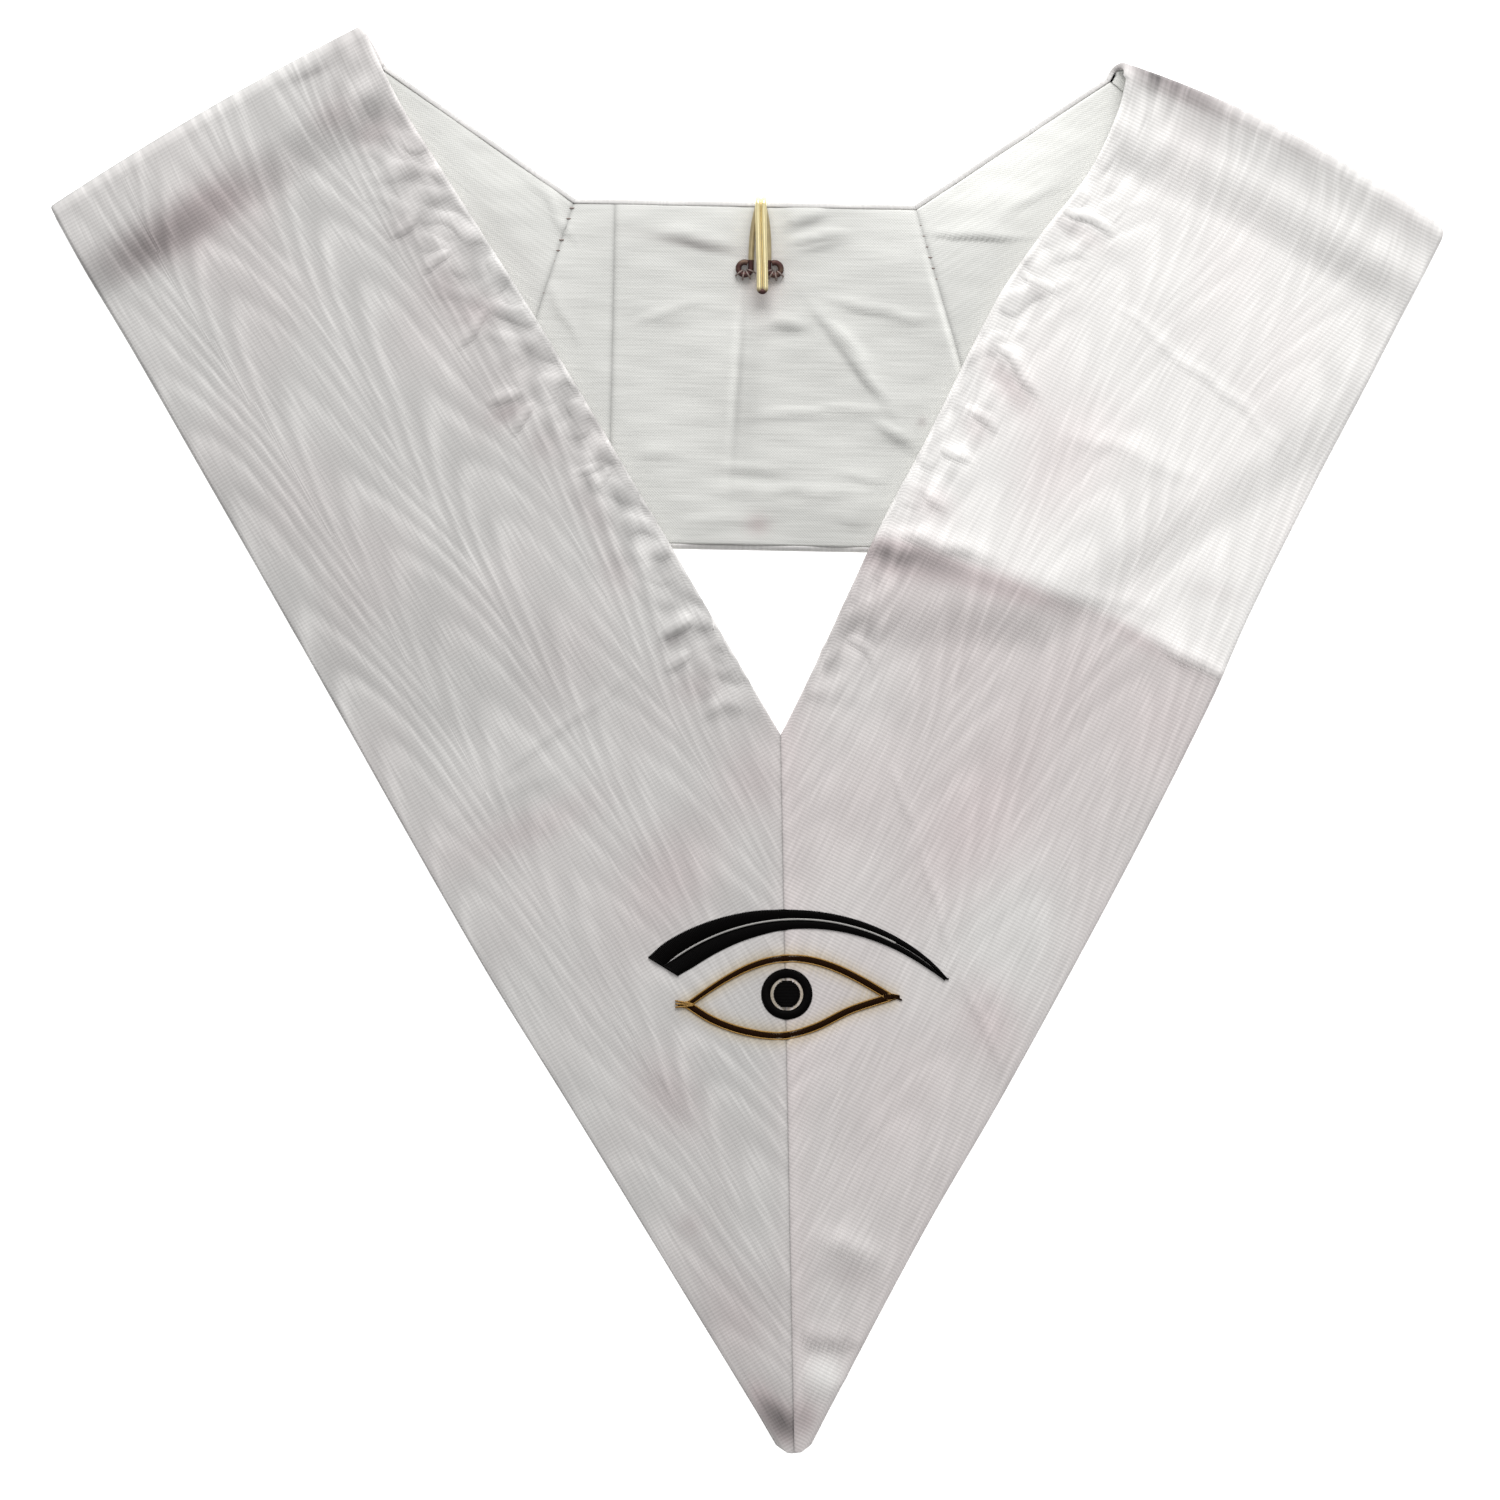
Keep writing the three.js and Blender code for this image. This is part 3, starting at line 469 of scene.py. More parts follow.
# Water marks of the ribbon: rows of nested arches. pitch: between arches along the band. drop: turns that an
# arch falls 10 mm from its middle. tilt: more turns for each millimetre across. strong and weak: by the
# shoulder and at the point. A row's middle and end are millimetres across the band, and start is its turns.
# Rows and turns stray by ROW_STRAY mm and PHASE_STRAY turns. The plain values are for the ribbon face down.
Water = namedtuple("Water", "pitch drop tilt strong weak rows")
Arches = namedtuple("Arches", "middle end start")
WATER = {
    "left": Water(26.0, 1.19, 0.03, 1.0, 0.6, [
        Arches(7.0, 23.5, 0.335),
        Arches(38.5, 52.0, 0.742),
        Arches(70.0, 81.0, 0.328),
        Arches(102.0, 120.0, 0.180),
    ]),
    "right": Water(24.0, 1.05, 0.0, 0.65, 0.35, [
        Arches(-7.0, 8.5, 0.55),
        Arches(24.0, 40.0, 0.55),
        Arches(56.0, 71.0, 0.55),
        Arches(86.5, 120.0, 0.55),
    ]),
}
WATER_START = -20.0
WATER_FADE = 90.0
WATER_LEAST = 0.6
WATER_RANGE = 0.8
ARCH_REACH = 10.0
ARCH_POWER = 1.8
ROW_STRAY = 4.0
PHASE_STRAY = 0.7
PLAIN_PITCH = 26.0
PLAIN_WATER = 0.6

# Tones of the ribbon, as changes of brightness and pinkness: painted sheen over the right band and painted
# light on its part above the step, paler there and taken off near the fold; painted shade on the left fold's
# edge and a painted highlight along the left band's inner hem; the left band by the point; the centre seam's
# painted shadow and the pale line beside it; uneven patches, and painted sheen and shade over the gathers; the
# ribbon inside the eye, painted shade in the ring round the pupil, and the ribbon beside the eye's lines
RIGHT_PAINTED_SHEEN = 0.17
RIGHT_BLUSH = 0.35
STEP_PAINTED_LIGHT = 0.34
STEP_PALENESS = 0.4
FOLD_SHADE = 0.39
FOLD_REACH = 16.0
FOLD_BLUR = 12.0
FOLD_EDGE_SHADES = (0.22, 0.55)
FOLD_EDGE_START = 30.0
FOLD_EDGE_GROW = 20.0
HEM_HIGHLIGHT = 0.1
HEM_PLACE = 0.8
HEM_WIDTH = 0.9
HEM_GROW = 60.0
LEFT_POINT_TONE = 0.05
LEFT_POINT_FADE = 120.0
SEAM_SHADOW = 0.42
SEAM_LINE = 0.42
SEAM_TONE = 0.05
SEAM_TONE_PLACE = 1.9
SEAM_TONE_WIDTH = 1.0
SEAM_BLUSH = 0.2
SEAM_BLUSH_REACH = 6.0
BLUSH_PATCHES = 0.4
TONE_PATCHES = 0.08
GATHER_SHEEN = 0.35
GATHER_SHEEN_END = 8.0
GATHER_SHEEN_FADE = 14.0
GATHER_SHEEN_GROW = 30.0
INSIDE_SHADE = 0.07
INSIDE_BLUR = 1.5
RING_SHADE = 0.32
RING_WIDTH = 0.9
RING_GILT = 0.8
HALO_SHADE = 0.35
HALO_REACH = 2.6

# Uneven patches of the cloth, and the painted sheen over the gathers, each as their size in millimetres and
# their random seed
BLUSH_RIPPLE = (42.0, 31)
TONE_RIPPLE = (24.0, 32)
GATHER_SHEEN_RIPPLE = (9.0, 33)
SLACK_RIPPLE = (26.0, 21)
FINE_SLACK_RIPPLE = (6.0, 22)
LINING_RIPPLE = (30.0, 41)

# Weave and finish. Spacings, depths and toned lengths are millimetres; shades are changes of brightness.
RIBBON_CLOTH = "Moire faille ribbon, white"
RIB_SPACING = 1.0
RIB_SHADE = 0.012
RIB_RELIEF = 0.2
STREAK_WIDTH = 0.9
STREAK_LENGTH = 16.0
STREAK_SHADE = 0.42
RIBBON_DEPTH = 0.09
LINING_CLOTH = "Cotton percale lining"
WEAVE_SPACING = 0.8
WEAVE_SHADE = 0.01
WEAVE_RELIEF = 0.2
SLUB_WIDTH = 1.1
SLUB_LENGTH = 14.0
SLUB_SHADE = 0.17
LINING_DEPTH = 0.12
SEWING_THREAD = "Cotton sewing thread"
FIBRE_SIZE = 0.9
FIBRE_DEPTH = 0.03
FIBRE_SHADE = 0.25
STAIN_SIZE = 2.5
STAIN_SHADE = 0.3
# Patina of the hook's shank and by its eyes, and painted shadow at its tongue's tip
SHANK_PATINA = 0.55
EYES_PATINA = 0.45
TIP_SHADOW = 1.5
DULL_HEIGHT = 1.0
DULL_BLUR = 1.5
EYES_TONED = 2.5
TIP_SHADOW_REACH = 2.6

# Heights of the surface between ribbon and lining
LAY_FACE_UP = LINING_WALL + GAP / 2
LAY_FACE_DOWN = RIBBON_WALL + GAP / 2
STACK = RIBBON_WALL + LINING_WALL + 2 * GAP
CREST = LAY_FACE_DOWN + 2 * TURN_RADIUS
FACE_TOP = LAY_FACE_UP + GAP / 2 + RIBBON_WALL
LINING_TOP = LAY_FACE_DOWN + GAP / 2 + LINING_WALL
TURN_INSET = GAP / 2 + RIBBON_WALL + TURN_RADIUS

# Mesh fineness
BAND_SPACING = 1.2
LINING_SPACING = 2.2
STRAP_SPACING = 1.0
UNDER_SPACING = 2.6
SEAM_ROWS = np.array([0.0, 0.25, 0.6, 1.1, 1.8])
TURN_STEPS = 14
TUCK_STEPS = 8
EDGE_ANGLES = np.radians([60, 30, 0, -30, -60])
INNER_STEP = 3
DENSE_WIDTH = 26.0
DENSE_RATIO = 0.55
START_ROUNDS = 8
THREAD_SIDES = 6
THREAD_STEPS = 7
THREAD_SHARE = 0.58
WIRE_SIDES = 16
WIRE_STEP = 0.25
UP = np.array([0.0, 0.0, 1.0])


def linear(code):
    """An sRGB hex colour as linear light: a straight foot up to 0.04045 and a 2.4 power above it."""
    srgb = np.array([int(code[i:i + 2], 16) for i in (1, 3, 5)]) / 255
    light = np.where(srgb <= 0.04045, srgb / 12.92, ((srgb + 0.055) / 1.055) ** 2.4)
    return tuple(light.tolist())


def smooth(share):
    """0 below 0, 1 above 1, and 3s² - 2s³ between."""
    s = np.clip(share, 0.0, 1.0)
    return s * s * (3.0 - 2.0 * s)


def lerp(low, high, share):
    """low at share 0, high at share 1, and straight between."""
    return low + (high - low) * share


def bell(offset, width):
    """e^-(offset / width)²."""
    return np.exp(-(offset / width) ** 2)


def curve(table, x):
    """A cubic through each row (station, value), whose slope at a station is that between its neighbours."""
    stations, values = table[:, 0], table[:, 1]
    ends = np.arange(len(stations))
    before = np.maximum(ends - 1, 0)
    after = np.minimum(ends + 1, len(stations) - 1)
    slopes = (values[after] - values[before]) / (stations[after] - stations[before])
    i = np.clip(np.searchsorted(stations, x, side="right") - 1, 0, len(stations) - 2)
    span = stations[i + 1] - stations[i]
    s = np.clip((x - stations[i]) / span, 0.0, 1.0)
    tangent = s * (1 - s) * span
    lean = (1 - s) * slopes[i] - s * slopes[i + 1]
    return lerp(values[i], values[i + 1], s * s * (3 - 2 * s)) + tangent * lean


def turned(degrees):
    """A direction at this many degrees from +X."""
    angle = np.radians(degrees)
    return np.array([np.cos(angle), np.sin(angle)])


def unit(vectors):
    """The vectors divided by their own lengths."""
    return vectors / np.linalg.norm(vectors, axis=-1, keepdims=True)


def right_of(run):
    """A direction a quarter turn to the right of run."""
    return np.array([run[1], -run[0]])


def meet(a, run_a, b, run_b):
    """Where the line through a along run_a meets the line through b along run_b."""
    cross = run_a[0] * run_b[1] - run_a[1] * run_b[0]
    offset = b - a
    return a + run_a * (offset[0] * run_b[1] - offset[1] * run_b[0]) / cross


def ripple(x, y, wavelength, seed):
    """Uneven waves from 0 to 1: the mean of nine sines in drawn directions, of about the given wavelength."""
    draw = np.random.default_rng(seed)
    total = np.zeros_like(x)
    for turn, phase, stretch in zip(*draw.uniform(0, 1, (3, 9))):
        run = turned(360 * turn)
        total += np.sin(2 * np.pi * ((x * run[0] + y * run[1]) / (wavelength * (0.7 + stretch)) + phase))
    return np.clip(0.5 + total / 9, 0.0, 1.0)


class Band:
    """A front band: its axes from the inner corner, its straying edges and the strap's corners beneath it."""

    def __init__(self, lay):
        lean = np.radians(lay.lean)
        self.lay = lay
        self.run = np.array([lay.hand * np.cos(lean), np.sin(lean)])
        self.side = np.array([lay.hand * np.sin(lean), -np.cos(lean)])
        self.edges = np.array(lay.edges)

    def edge(self, along, column):
        """How far an edge strays from a straight ribbon."""
        return RIBBON_WIDTH * curve(self.edges[:, [0, column]], along / self.lay.length)

    def inner(self, along):
        return self.edge(along, 1)

    def outer(self, along):
        return RIBBON_WIDTH + self.edge(along, 2)

    def across(self, along, share):
        """Distance across the ribbon at a share of the way from its inner to its outer edge."""
        return lerp(self.inner(along), self.outer(along), share)

    def place(self, along, across):
        """along · run + across · side, the two axes of the band."""
        return along[..., None] * self.run + across[..., None] * self.side

    def fold(self, share):
        """Where the fold's line lies along the band: bowed as a parabola, whose middle is at share 0.5."""
        return self.lay.length + self.lay.fold_bow * (1 - (2 * share - 1) ** 2)

    def outer_line(self):
        """The point where the outer edge starts."""
        first = self.lay.edges[0]
        return self.run * first.along * self.lay.length + self.side * RIBBON_WIDTH * (1 + first.outer)

    def join_strap(self):
        """Sets the four corners of the shoulder strap between this band and the neck strap."""
        lay = self.lay
        end = np.array(lay.length)
        start = self.run * (lay.length - lay.tuck_run)
        self.seam_top = start + self.side * (self.inner(end) + lay.tuck_shift)
        self.neck_top = NECK_MIDDLE + NECK_RUN * lay.hand * NECK_LENGTH / 2
        self.strap_run = unit(self.neck_top - self.seam_top)
        self.strap_down = -lay.hand * right_of(self.strap_run)
        strap_low = self.seam_top + self.strap_down * NECK_WIDTH
        outer_low = self.side * (self.outer(end) + lay.tuck_shift)
        self.seam_low = meet(strap_low, self.strap_run, outer_low, self.run)
        self.neck_low = meet(strap_low, self.strap_run, NECK_LOW, NECK_RUN)


BANDS = {name: Band(lay) for name, lay in LAYS.items()}
LEFT, RIGHT = BANDS["left"], BANDS["right"]

# Centre seam
point_corner = meet(LEFT.outer_line(), LEFT.run, RIGHT.outer_line(), RIGHT.run)
POINT_REACH = np.linalg.norm(point_corner) - POINT_CUT
SEAM_RUN = unit(point_corner)

# Neck strap and the shoulder straps' corners
NECK_RUN = turned(NECK_TILT)
NECK_DOWN = right_of(NECK_RUN)
NECK_MIDDLE = np.array([NECK_SHIFT, NECK_RISE])
NECK_LOW = NECK_MIDDLE + NECK_DOWN * NECK_WIDTH
for band in BANDS.values():
    band.join_strap()

# Places of the embroidery and the hook, and the layout's place in the row's frame
EYE_MIDDLE = SEAM_RUN * EYE_DROP + np.array([EYE_SHIFT, 0.0])
LIDS_MIDDLE = EYE_MIDDLE + np.array([LIDS_SHIFT, -LIDS_FALL])
HOOK_TOP = NECK_MIDDLE + NECK_RUN * HOOK_SHIFT - NECK_DOWN * HOOK_OVERHANG
iris_low, iris_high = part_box("eye_iris")
ORIGIN = (np.array(iris_low + iris_high)[:2] / 2) / MM - EYE_MIDDLE


def pressed(creases, x, y):
    """Height of the creases: each a bowed lens, narrow at its ends, whose sides fall as e^-(s/w)^1.4."""
    height = np.zeros_like(x)
    wander = ripple(x, y, 16.0, 51) - 0.5
    for row in creases:
        crease = Crease(*row)
        run_x, run_y = turned(crease.turn)
        run = ((x - crease.x) * run_x + (y - crease.y) * run_y) * 2 / crease.length
        side = (y - crease.y) * run_x - (x - crease.x) * run_y
        side = side - crease.bow * (1 - run * run) + 0.9 * min(crease.width, 3.0) * wander
        ends = 1 - smooth((np.abs(run) - 0.2) / 0.8)
        width = crease.width * (0.4 + 0.6 * ends) * np.where(side < 0, crease.foot, 1.0)
        height = np.maximum(height, crease.rise * ends * np.exp(-(np.abs(side) / (0.6 * width)) ** 1.4))
    return height


def marked(marks, x, y):
    """Tone and blush of the marks, their painted shade and highlight and their pink tint: each a bell curve
    along its length and across its width.
    """
    tone, blush = np.zeros_like(x), np.zeros_like(x)
    for row in marks:
        mark = Mark(*row)
        run_x, run_y = turned(mark.turn)
        run = (x - mark.x) * run_x + (y - mark.y) * run_y
        side = (y - mark.y) * run_x - (x - mark.x) * run_y
        near = np.exp(-2.0 * (2 * run / mark.length) ** 2 - (side / mark.width) ** 2)
        tone += mark.tone * near
        blush += mark.blush * near
    return tone, blush


def gathered(band, along, across, height):
    """Height of the gathers: soft bars across the inner edge at drawn places, broken up into pillows."""
    lay = band.lay
    draw = np.random.default_rng(lay.seed)
    spacing = lay.length / lay.gathers
    bars = np.zeros_like(along)
    for middle in spacing * np.arange(1, lay.gathers - 1):
        stray, reach, wide, tall, slant = draw.uniform(-1, 1, 5)
        offset = along - middle - BAR_STRAY * spacing * stray - BAR_SLANT * slant * across
        width = (BAR_WIDTH + BAR_WIDER * wide) * np.where(offset < 0, BAR_STEEP, 1.0)
        inward = 1 - smooth((across - BAR_FLAT) / (BAR_REACH + BAR_FURTHER * reach))
        bars = np.maximum(bars, (BAR_RISE + BAR_TALLER * tall) * inward * bell(offset, width))
    reach = lerp(*PILLOW_REACHES, smooth((along / lay.length - 0.45) / 0.3))
    pillows = np.clip(3.2 * (ripple(along, 1.2 * across, PILLOW_SIZE, lay.seed + 1) - 0.4), 0.0, 1.0)
    pillows = pillows * (1 - smooth(across / reach))
    from_point = smooth((along - GATHERS_START) / GATHERS_GROW)
    from_fold = smooth((lay.length - GATHERS_END - along) / GATHERS_FADE)
    return height * (BAR_SHARE * bars + PILLOW_SHARE * pillows) * from_point * from_fold


def band_height(name, along, across, turn_start, gather_height):
    """Height of a lying band: over the straps beneath, with its relief, rolling up to the fold's crest."""
    band = BANDS[name]
    place = band.place(along, across)
    x, y = place[..., 0], place[..., 1]
    past_strap = (place - band.seam_low) @ band.strap_down
    past_neck = (place - NECK_LOW) @ NECK_DOWN
    past = np.maximum(past_strap, past_neck) - RAMP_START
    lift = STACK * (1 - smooth(past / band.lay.ramp_run))
    from_eye = smooth((np.linalg.norm(place - EYE_MIDDLE, axis=-1) - EYE_CLEARING) / EYE_FADE)
    beside_seam = np.abs(place @ right_of(SEAM_RUN))
    from_seam = smooth(beside_seam / EYE_FADE)
    swell = SWELL_RISE * ripple(x, y, SWELL_SIZE, band.lay.seed + 2) * from_eye * from_seam
    welt = SEAM_SWELL * (1 - bell(beside_seam, WELT_GROOVE)) * bell(beside_seam, WELT_WIDTH)
    creases = pressed(CREASES[name], x, y) * smooth(from_seam * 4)
    relief = np.maximum(creases, gathered(band, along, across - band.inner(along), gather_height))
    lying = LAY_FACE_UP + lift + relief + swell + welt
    roll = smooth((along - turn_start + ROLL_FLAT + ROLL_RUN) / ROLL_RUN)
    return lerp(lying, CREST, roll)


def band_start(band, share):
    """Where a band's threads start: at the centre seam, or at the point's squared and rounded end."""
    away = -band.lay.hand * right_of(SEAM_RUN)
    along = np.zeros_like(share)
    for _ in range(START_ROUNDS):
        across, outer = band.across(along, share), band.outer(along)
        seam = (SEAM_MEET - across * (band.side @ away)) / (band.run @ away)
        short = np.maximum(POINT_ROUND - (outer - across), 0.0)
        rounded = POINT_ROUND - np.sqrt(POINT_ROUND ** 2 - short ** 2)
        point = (POINT_REACH - rounded - across * (band.side @ SEAM_RUN)) / (band.run @ SEAM_RUN)
        along = np.maximum(seam, point)
    return along


def column_shares(width, spacing, dense=0.0):
    """Shares across a cloth: its edges, the trim beside them, and columns, closer over a dense width.

    The columns between make a multiple of the inner side's step, so that both sides meet at the ends.
    """
    first = LINING_INSET / width
    dense_cells = INNER_STEP * int(round(dense / (spacing * DENSE_RATIO * INNER_STEP)))
    wide_cells = INNER_STEP * int(round((width - dense) / (spacing * INNER_STEP)))
    stations = [first, max(dense / width, first), 1 - first]
    cells = [0, dense_cells, dense_cells + wide_cells]
    inside = np.interp(np.arange(cells[-1] + 1), cells, stations)
    return np.concatenate(([0.0], inside, [1.0]))


def band_surface(name, spacing, gather_height):
    """The surface between a band's ribbon and lining, rows along it and columns across it.

    It lies from the centre seam to the fold, turns over as a half circle and runs back to the shoulder seam.
    Returns the places, the cloth's own coordinates (across, along) and how far round the turn each lies.
    """
    band, lay = BANDS[name], LAYS[name]
    share = column_shares(RIBBON_WIDTH, spacing, DENSE_WIDTH)
    point_share = 1 - POINT_CUT * (band.side @ SEAM_RUN) / RIBBON_WIDTH
    share[np.argmin(np.abs(share - point_share))] = point_share
    start = band_start(band, share)
    turn_start = band.fold(share) - TURN_INSET
    rows = int(round((lay.length - start.min()) / spacing))
    seam_rows = start + SEAM_ROWS[:-1, None]
    further = start + SEAM_ROWS[-1]
    lying = np.vstack([seam_rows, lerp(further, turn_start, np.linspace(0, 1, rows)[:, None])])
    across = band.across(lying, share)
    height = band_height(name, lying, across, turn_start, gather_height)

    angle = np.linspace(0, np.pi, TURN_STEPS + 1)[1:, None]
    fold_across = band.across(np.full_like(share, lay.length), share)
    turn_along = turn_start + TURN_RADIUS * np.sin(angle)
    turn_across = fold_across + lay.tuck_shift * (1 - np.cos(angle)) / 2
    turn_height = CREST - TURN_RADIUS * (1 - np.cos(angle)) + 0 * turn_start

    seam = band.seam_low - band.seam_top
    slope = (seam @ band.run) / (seam @ band.side)
    tuck_across = fold_across + lay.tuck_shift
    tuck_end = band.seam_top @ band.run + (tuck_across - band.seam_top @ band.side) * slope
    tuck_end = tuck_end + SEAM_MEET * np.hypot(1, slope)
    tuck_along = lerp(turn_start, tuck_end, np.linspace(0, 1, TUCK_STEPS + 1)[1:, None])

    along = np.vstack([lying, turn_along, tuck_along])
    beside = np.vstack([across, turn_across, np.broadcast_to(tuck_across, tuck_along.shape)])
    up = np.vstack([height, turn_height, np.full_like(tuck_along, LAY_FACE_DOWN)])
    past_turn = 2 * turn_start + np.pi * TURN_RADIUS - tuck_along
    thread = np.vstack([lying, turn_start + TURN_RADIUS * angle, past_turn])
    turns = np.vstack([0 * lying, angle + 0 * turn_along, np.pi + 0 * tuck_along])
    places = np.dstack([band.place(along, beside), up])
    cloth = np.dstack([beside - band.inner(along), thread])
    return places, cloth, turns


def section(columns, face, inner, rim):
    """The loop round a cloth's section, as (source column, inset, offset from the surface) for each point.

    It runs along the face, round the edge as a half circle, under the turned rim and back on the inner side,
    which has only every few of the face's columns. Returns the loop, its cap's polygons, and where it bends.
    """
    foot = inner if rim is None else rim
    radius = abs(face - foot) / 2
    level = (face + foot) / 2
    upward = np.sign(face - foot)
    edge = [(radius * (1 - np.cos(a)), level + upward * radius * np.sin(a)) for a in EDGE_ANGLES]
    edge += [(radius, foot)]
    if rim is not None:
        edge += [(RIM_WIDTH, rim), (RIM_WIDTH, inner)]
    last = columns - 1
    back = list(range(last - 1, 0, -INNER_STEP))
    loop = [(0, radius, face)]
    loop += [(j, 0.0, face) for j in range(1, last)]
    loop += [(last, radius, face)]
    loop += [(last, inset, offset) for inset, offset in edge]
    loop += [(j, 0.0, inner) for j in back]
    loop += [(0, inset, offset) for inset, offset in edge[::-1]]

    inner_last = columns + len(edge) + len(back) - 1
    k = np.arange(len(back) - 1)[:, None]
    middle = np.hstack([1 + INNER_STEP * k + np.arange(INNER_STEP + 1), inner_last - k - 1, inner_last - k])
    right = np.arange(columns - 2, columns + len(edge) + 1)
    left = np.concatenate([np.arange(inner_last, len(loop)), [0, 1]])
    bent = np.zeros(len(loop), dtype=bool)
    bent[columns:columns + len(EDGE_ANGLES)] = True
    bent[-len(EDGE_ANGLES):] = True
    return np.array(loop), [middle, right[None], left[None]], bent


def shell(places, face, inner, rim=None, trim=0.0):
    """Carries the section along a cloth's surface, offset along the surface's normals, and closes both ends.

    Returns points, a list of face tables, the source of each point in the surface's grid and where it bends.
    """
    down = np.gradient(places, axis=0)
    over = np.gradient(places, axis=1)
    normal = unit(np.cross(down, over))
    normal *= np.sign(normal[0, 0, 2])
    loop, cap, bent = section(places.shape[1], face, inner, rim)
    source = loop[:, 0].astype(int)
    inward = np.zeros_like(places)
    inward[:, 0] = places[:, 1] - places[:, 0]
    inward[:, -1] = places[:, -2] - places[:, -1]
    inward /= np.maximum(np.linalg.norm(inward, axis=-1, keepdims=True), 1e-9)
    drawn = loop[:, 1] + trim * ((source == 0) | (source == places.shape[1] - 1))
    points = places[:, source] + normal[:, source] * loop[:, 2, None] + inward[:, source] * drawn[:, None]
    rows, around = points.shape[:2]
    index = np.arange(rows * around).reshape(rows, around)
    after = np.roll(index, -1, axis=1)
    quads = np.stack([index[:-1], index[1:], after[1:], after[:-1]], axis=-1).reshape(-1, 4)
    tables = [quads] + [index[0][part] for part in cap] + [index[-1][part][:, ::-1] for part in cap]
    return points.reshape(-1, 3), outward(points.reshape(-1, 3), tables), source, np.tile(bent, rows)


def outward(points, tables):
    """Turns every face round where the closed mesh's volume, as the sum of a · (b × c) / 6, is negative."""
    volume = 0.0
    for table in tables:
        for k in range(1, table.shape[1] - 1):
            a, b, c = (points[table[:, i]] for i in (0, k, k + 1))
            volume += (a * np.cross(b, c)).sum()
    return tables if volume > 0 else [table[:, ::-1] for table in tables]


def linked(name, data):
    """An object with the given data, in the scene."""
    made = bpy.data.objects.new(name, data)
    bpy.context.scene.collection.objects.link(made)
    return made


def new_piece(name, points, tables, material, slot, replaces=(), smooth_shaded=True, **attributes):
    """Puts points in layout millimetres into a mesh in metres, with its attributes, material and ride."""
    points = points.copy()
    points[:, :2] += ORIGIN
    mesh = bpy.data.meshes.new(name)
    corners = np.concatenate([table.ravel() for table in tables]).astype(np.int32)
    counts = np.concatenate([np.full(len(table), table.shape[1]) for table in tables])
    mesh.vertices.add(len(points))
    mesh.loops.add(len(corners))
    mesh.polygons.add(len(counts))
    mesh.vertices.foreach_set("co", (points * MM).astype(np.float32).ravel())
    mesh.loops.foreach_set("vertex_index", corners)
    mesh.polygons.foreach_set("loop_start", np.concatenate(([0], np.cumsum(counts)[:-1])).astype(np.int32))
    mesh.polygons.foreach_set("use_smooth", np.full(len(counts), smooth_shaded))
    mesh.update(calc_edges=True)
    mesh.validate()
    for key, values in attributes.items():
        flat = np.ascontiguousarray(values, dtype=np.float32)
        kind, field = ("FLOAT", "value") if flat.ndim == 1 else ("FLOAT_VECTOR", "vector")
        mesh.attributes.new(key, kind, "POINT").data.foreach_set(field, flat.ravel())
    mesh.materials.append(material)
    piece = linked(name, mesh)
    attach(piece, BODY)
    if replaces:
        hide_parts(*replaces)
    return piece


def spread(values, source):
    """Gives each point of a shell its surface column's value."""
    taken = values[:, source]
    return taken.reshape(-1, *taken.shape[2:])


def weave_of(cloth, source):
    """The cloth's own coordinates as a vector for each point of its shell."""
    flat = spread(cloth, source)
    return np.column_stack([flat, np.zeros(len(flat))])


def water_phase(name, cloth):
    """Phase of the water marks in turns: along / pitch + drop·(|x| / 10)^1.8 + tilt·x + the row's start.

    x is the distance from the middle of a row of arches, so the arches steepen towards the rows' edges.
    """
    water, seed = WATER[name], LAYS[name].seed
    across, along = cloth[..., 0], cloth[..., 1]
    rows = np.array(water.rows)
    bent = across + ROW_STRAY * (ripple(across, along / 3, 45.0, seed + 11) - 0.5)
    row = np.searchsorted(rows[:-1, 1], bent)
    x = bent - rows[row, 0]
    slow = PHASE_STRAY * (ripple(across, along, 60.0, seed + 12) - 0.5)
    arch = water.drop * (np.abs(x) / ARCH_REACH) ** ARCH_POWER
    return rows[row, 2] + along / water.pitch + arch + water.tilt * x + slow


def water_strength(name, cloth):
    """How strongly the water marks show: strong by the shoulder, weak at the point, and uneven."""
    water, seed = WATER[name], LAYS[name].seed
    along = cloth[..., 1]
    level = lerp(water.weak, water.strong, smooth((along - WATER_START) / WATER_FADE))
    return level * (WATER_LEAST + WATER_RANGE * ripple(cloth[..., 0], along / 2, 38.0, seed + 13))


def eye_frame(points):
    """Points measured from the middle of the lids, turned to their own tilt."""
    offset = points - LIDS_MIDDLE
    run = turned(EYE_TILT)
    return np.stack([offset @ run, offset @ -right_of(run)], axis=-1)


def lid_height(x, upper):
    """Height of a lid over the line between the eye's corners: half a sine wave, or the lower lid's table."""
    share = np.clip(x / EYE_LENGTH + 0.5, 0.0, 1.0)
    if upper:
        return EYE_LID_RISE * np.sin(np.pi * share)
    return -EYE_LID_DROP * curve(LOWER_LID, share)


def round_eye(places):
    """How near the ribbon lies to the eye's line, and whether it is inside: both from 0 to 1."""
    local = eye_frame(places[..., :2])
    x, y = local[..., 0], local[..., 1]
    above, below = lid_height(x, True), lid_height(x, False)
    beyond = np.maximum(np.abs(x) - EYE_LENGTH / 2, 0.0)
    reach = np.hypot(np.minimum(np.abs(y - above), np.abs(y - below)), beyond)
    inside = smooth((above - y) / INSIDE_BLUR) * smooth((y - below) / INSIDE_BLUR) * (beyond == 0)
    return bell(reach, HALO_REACH), inside


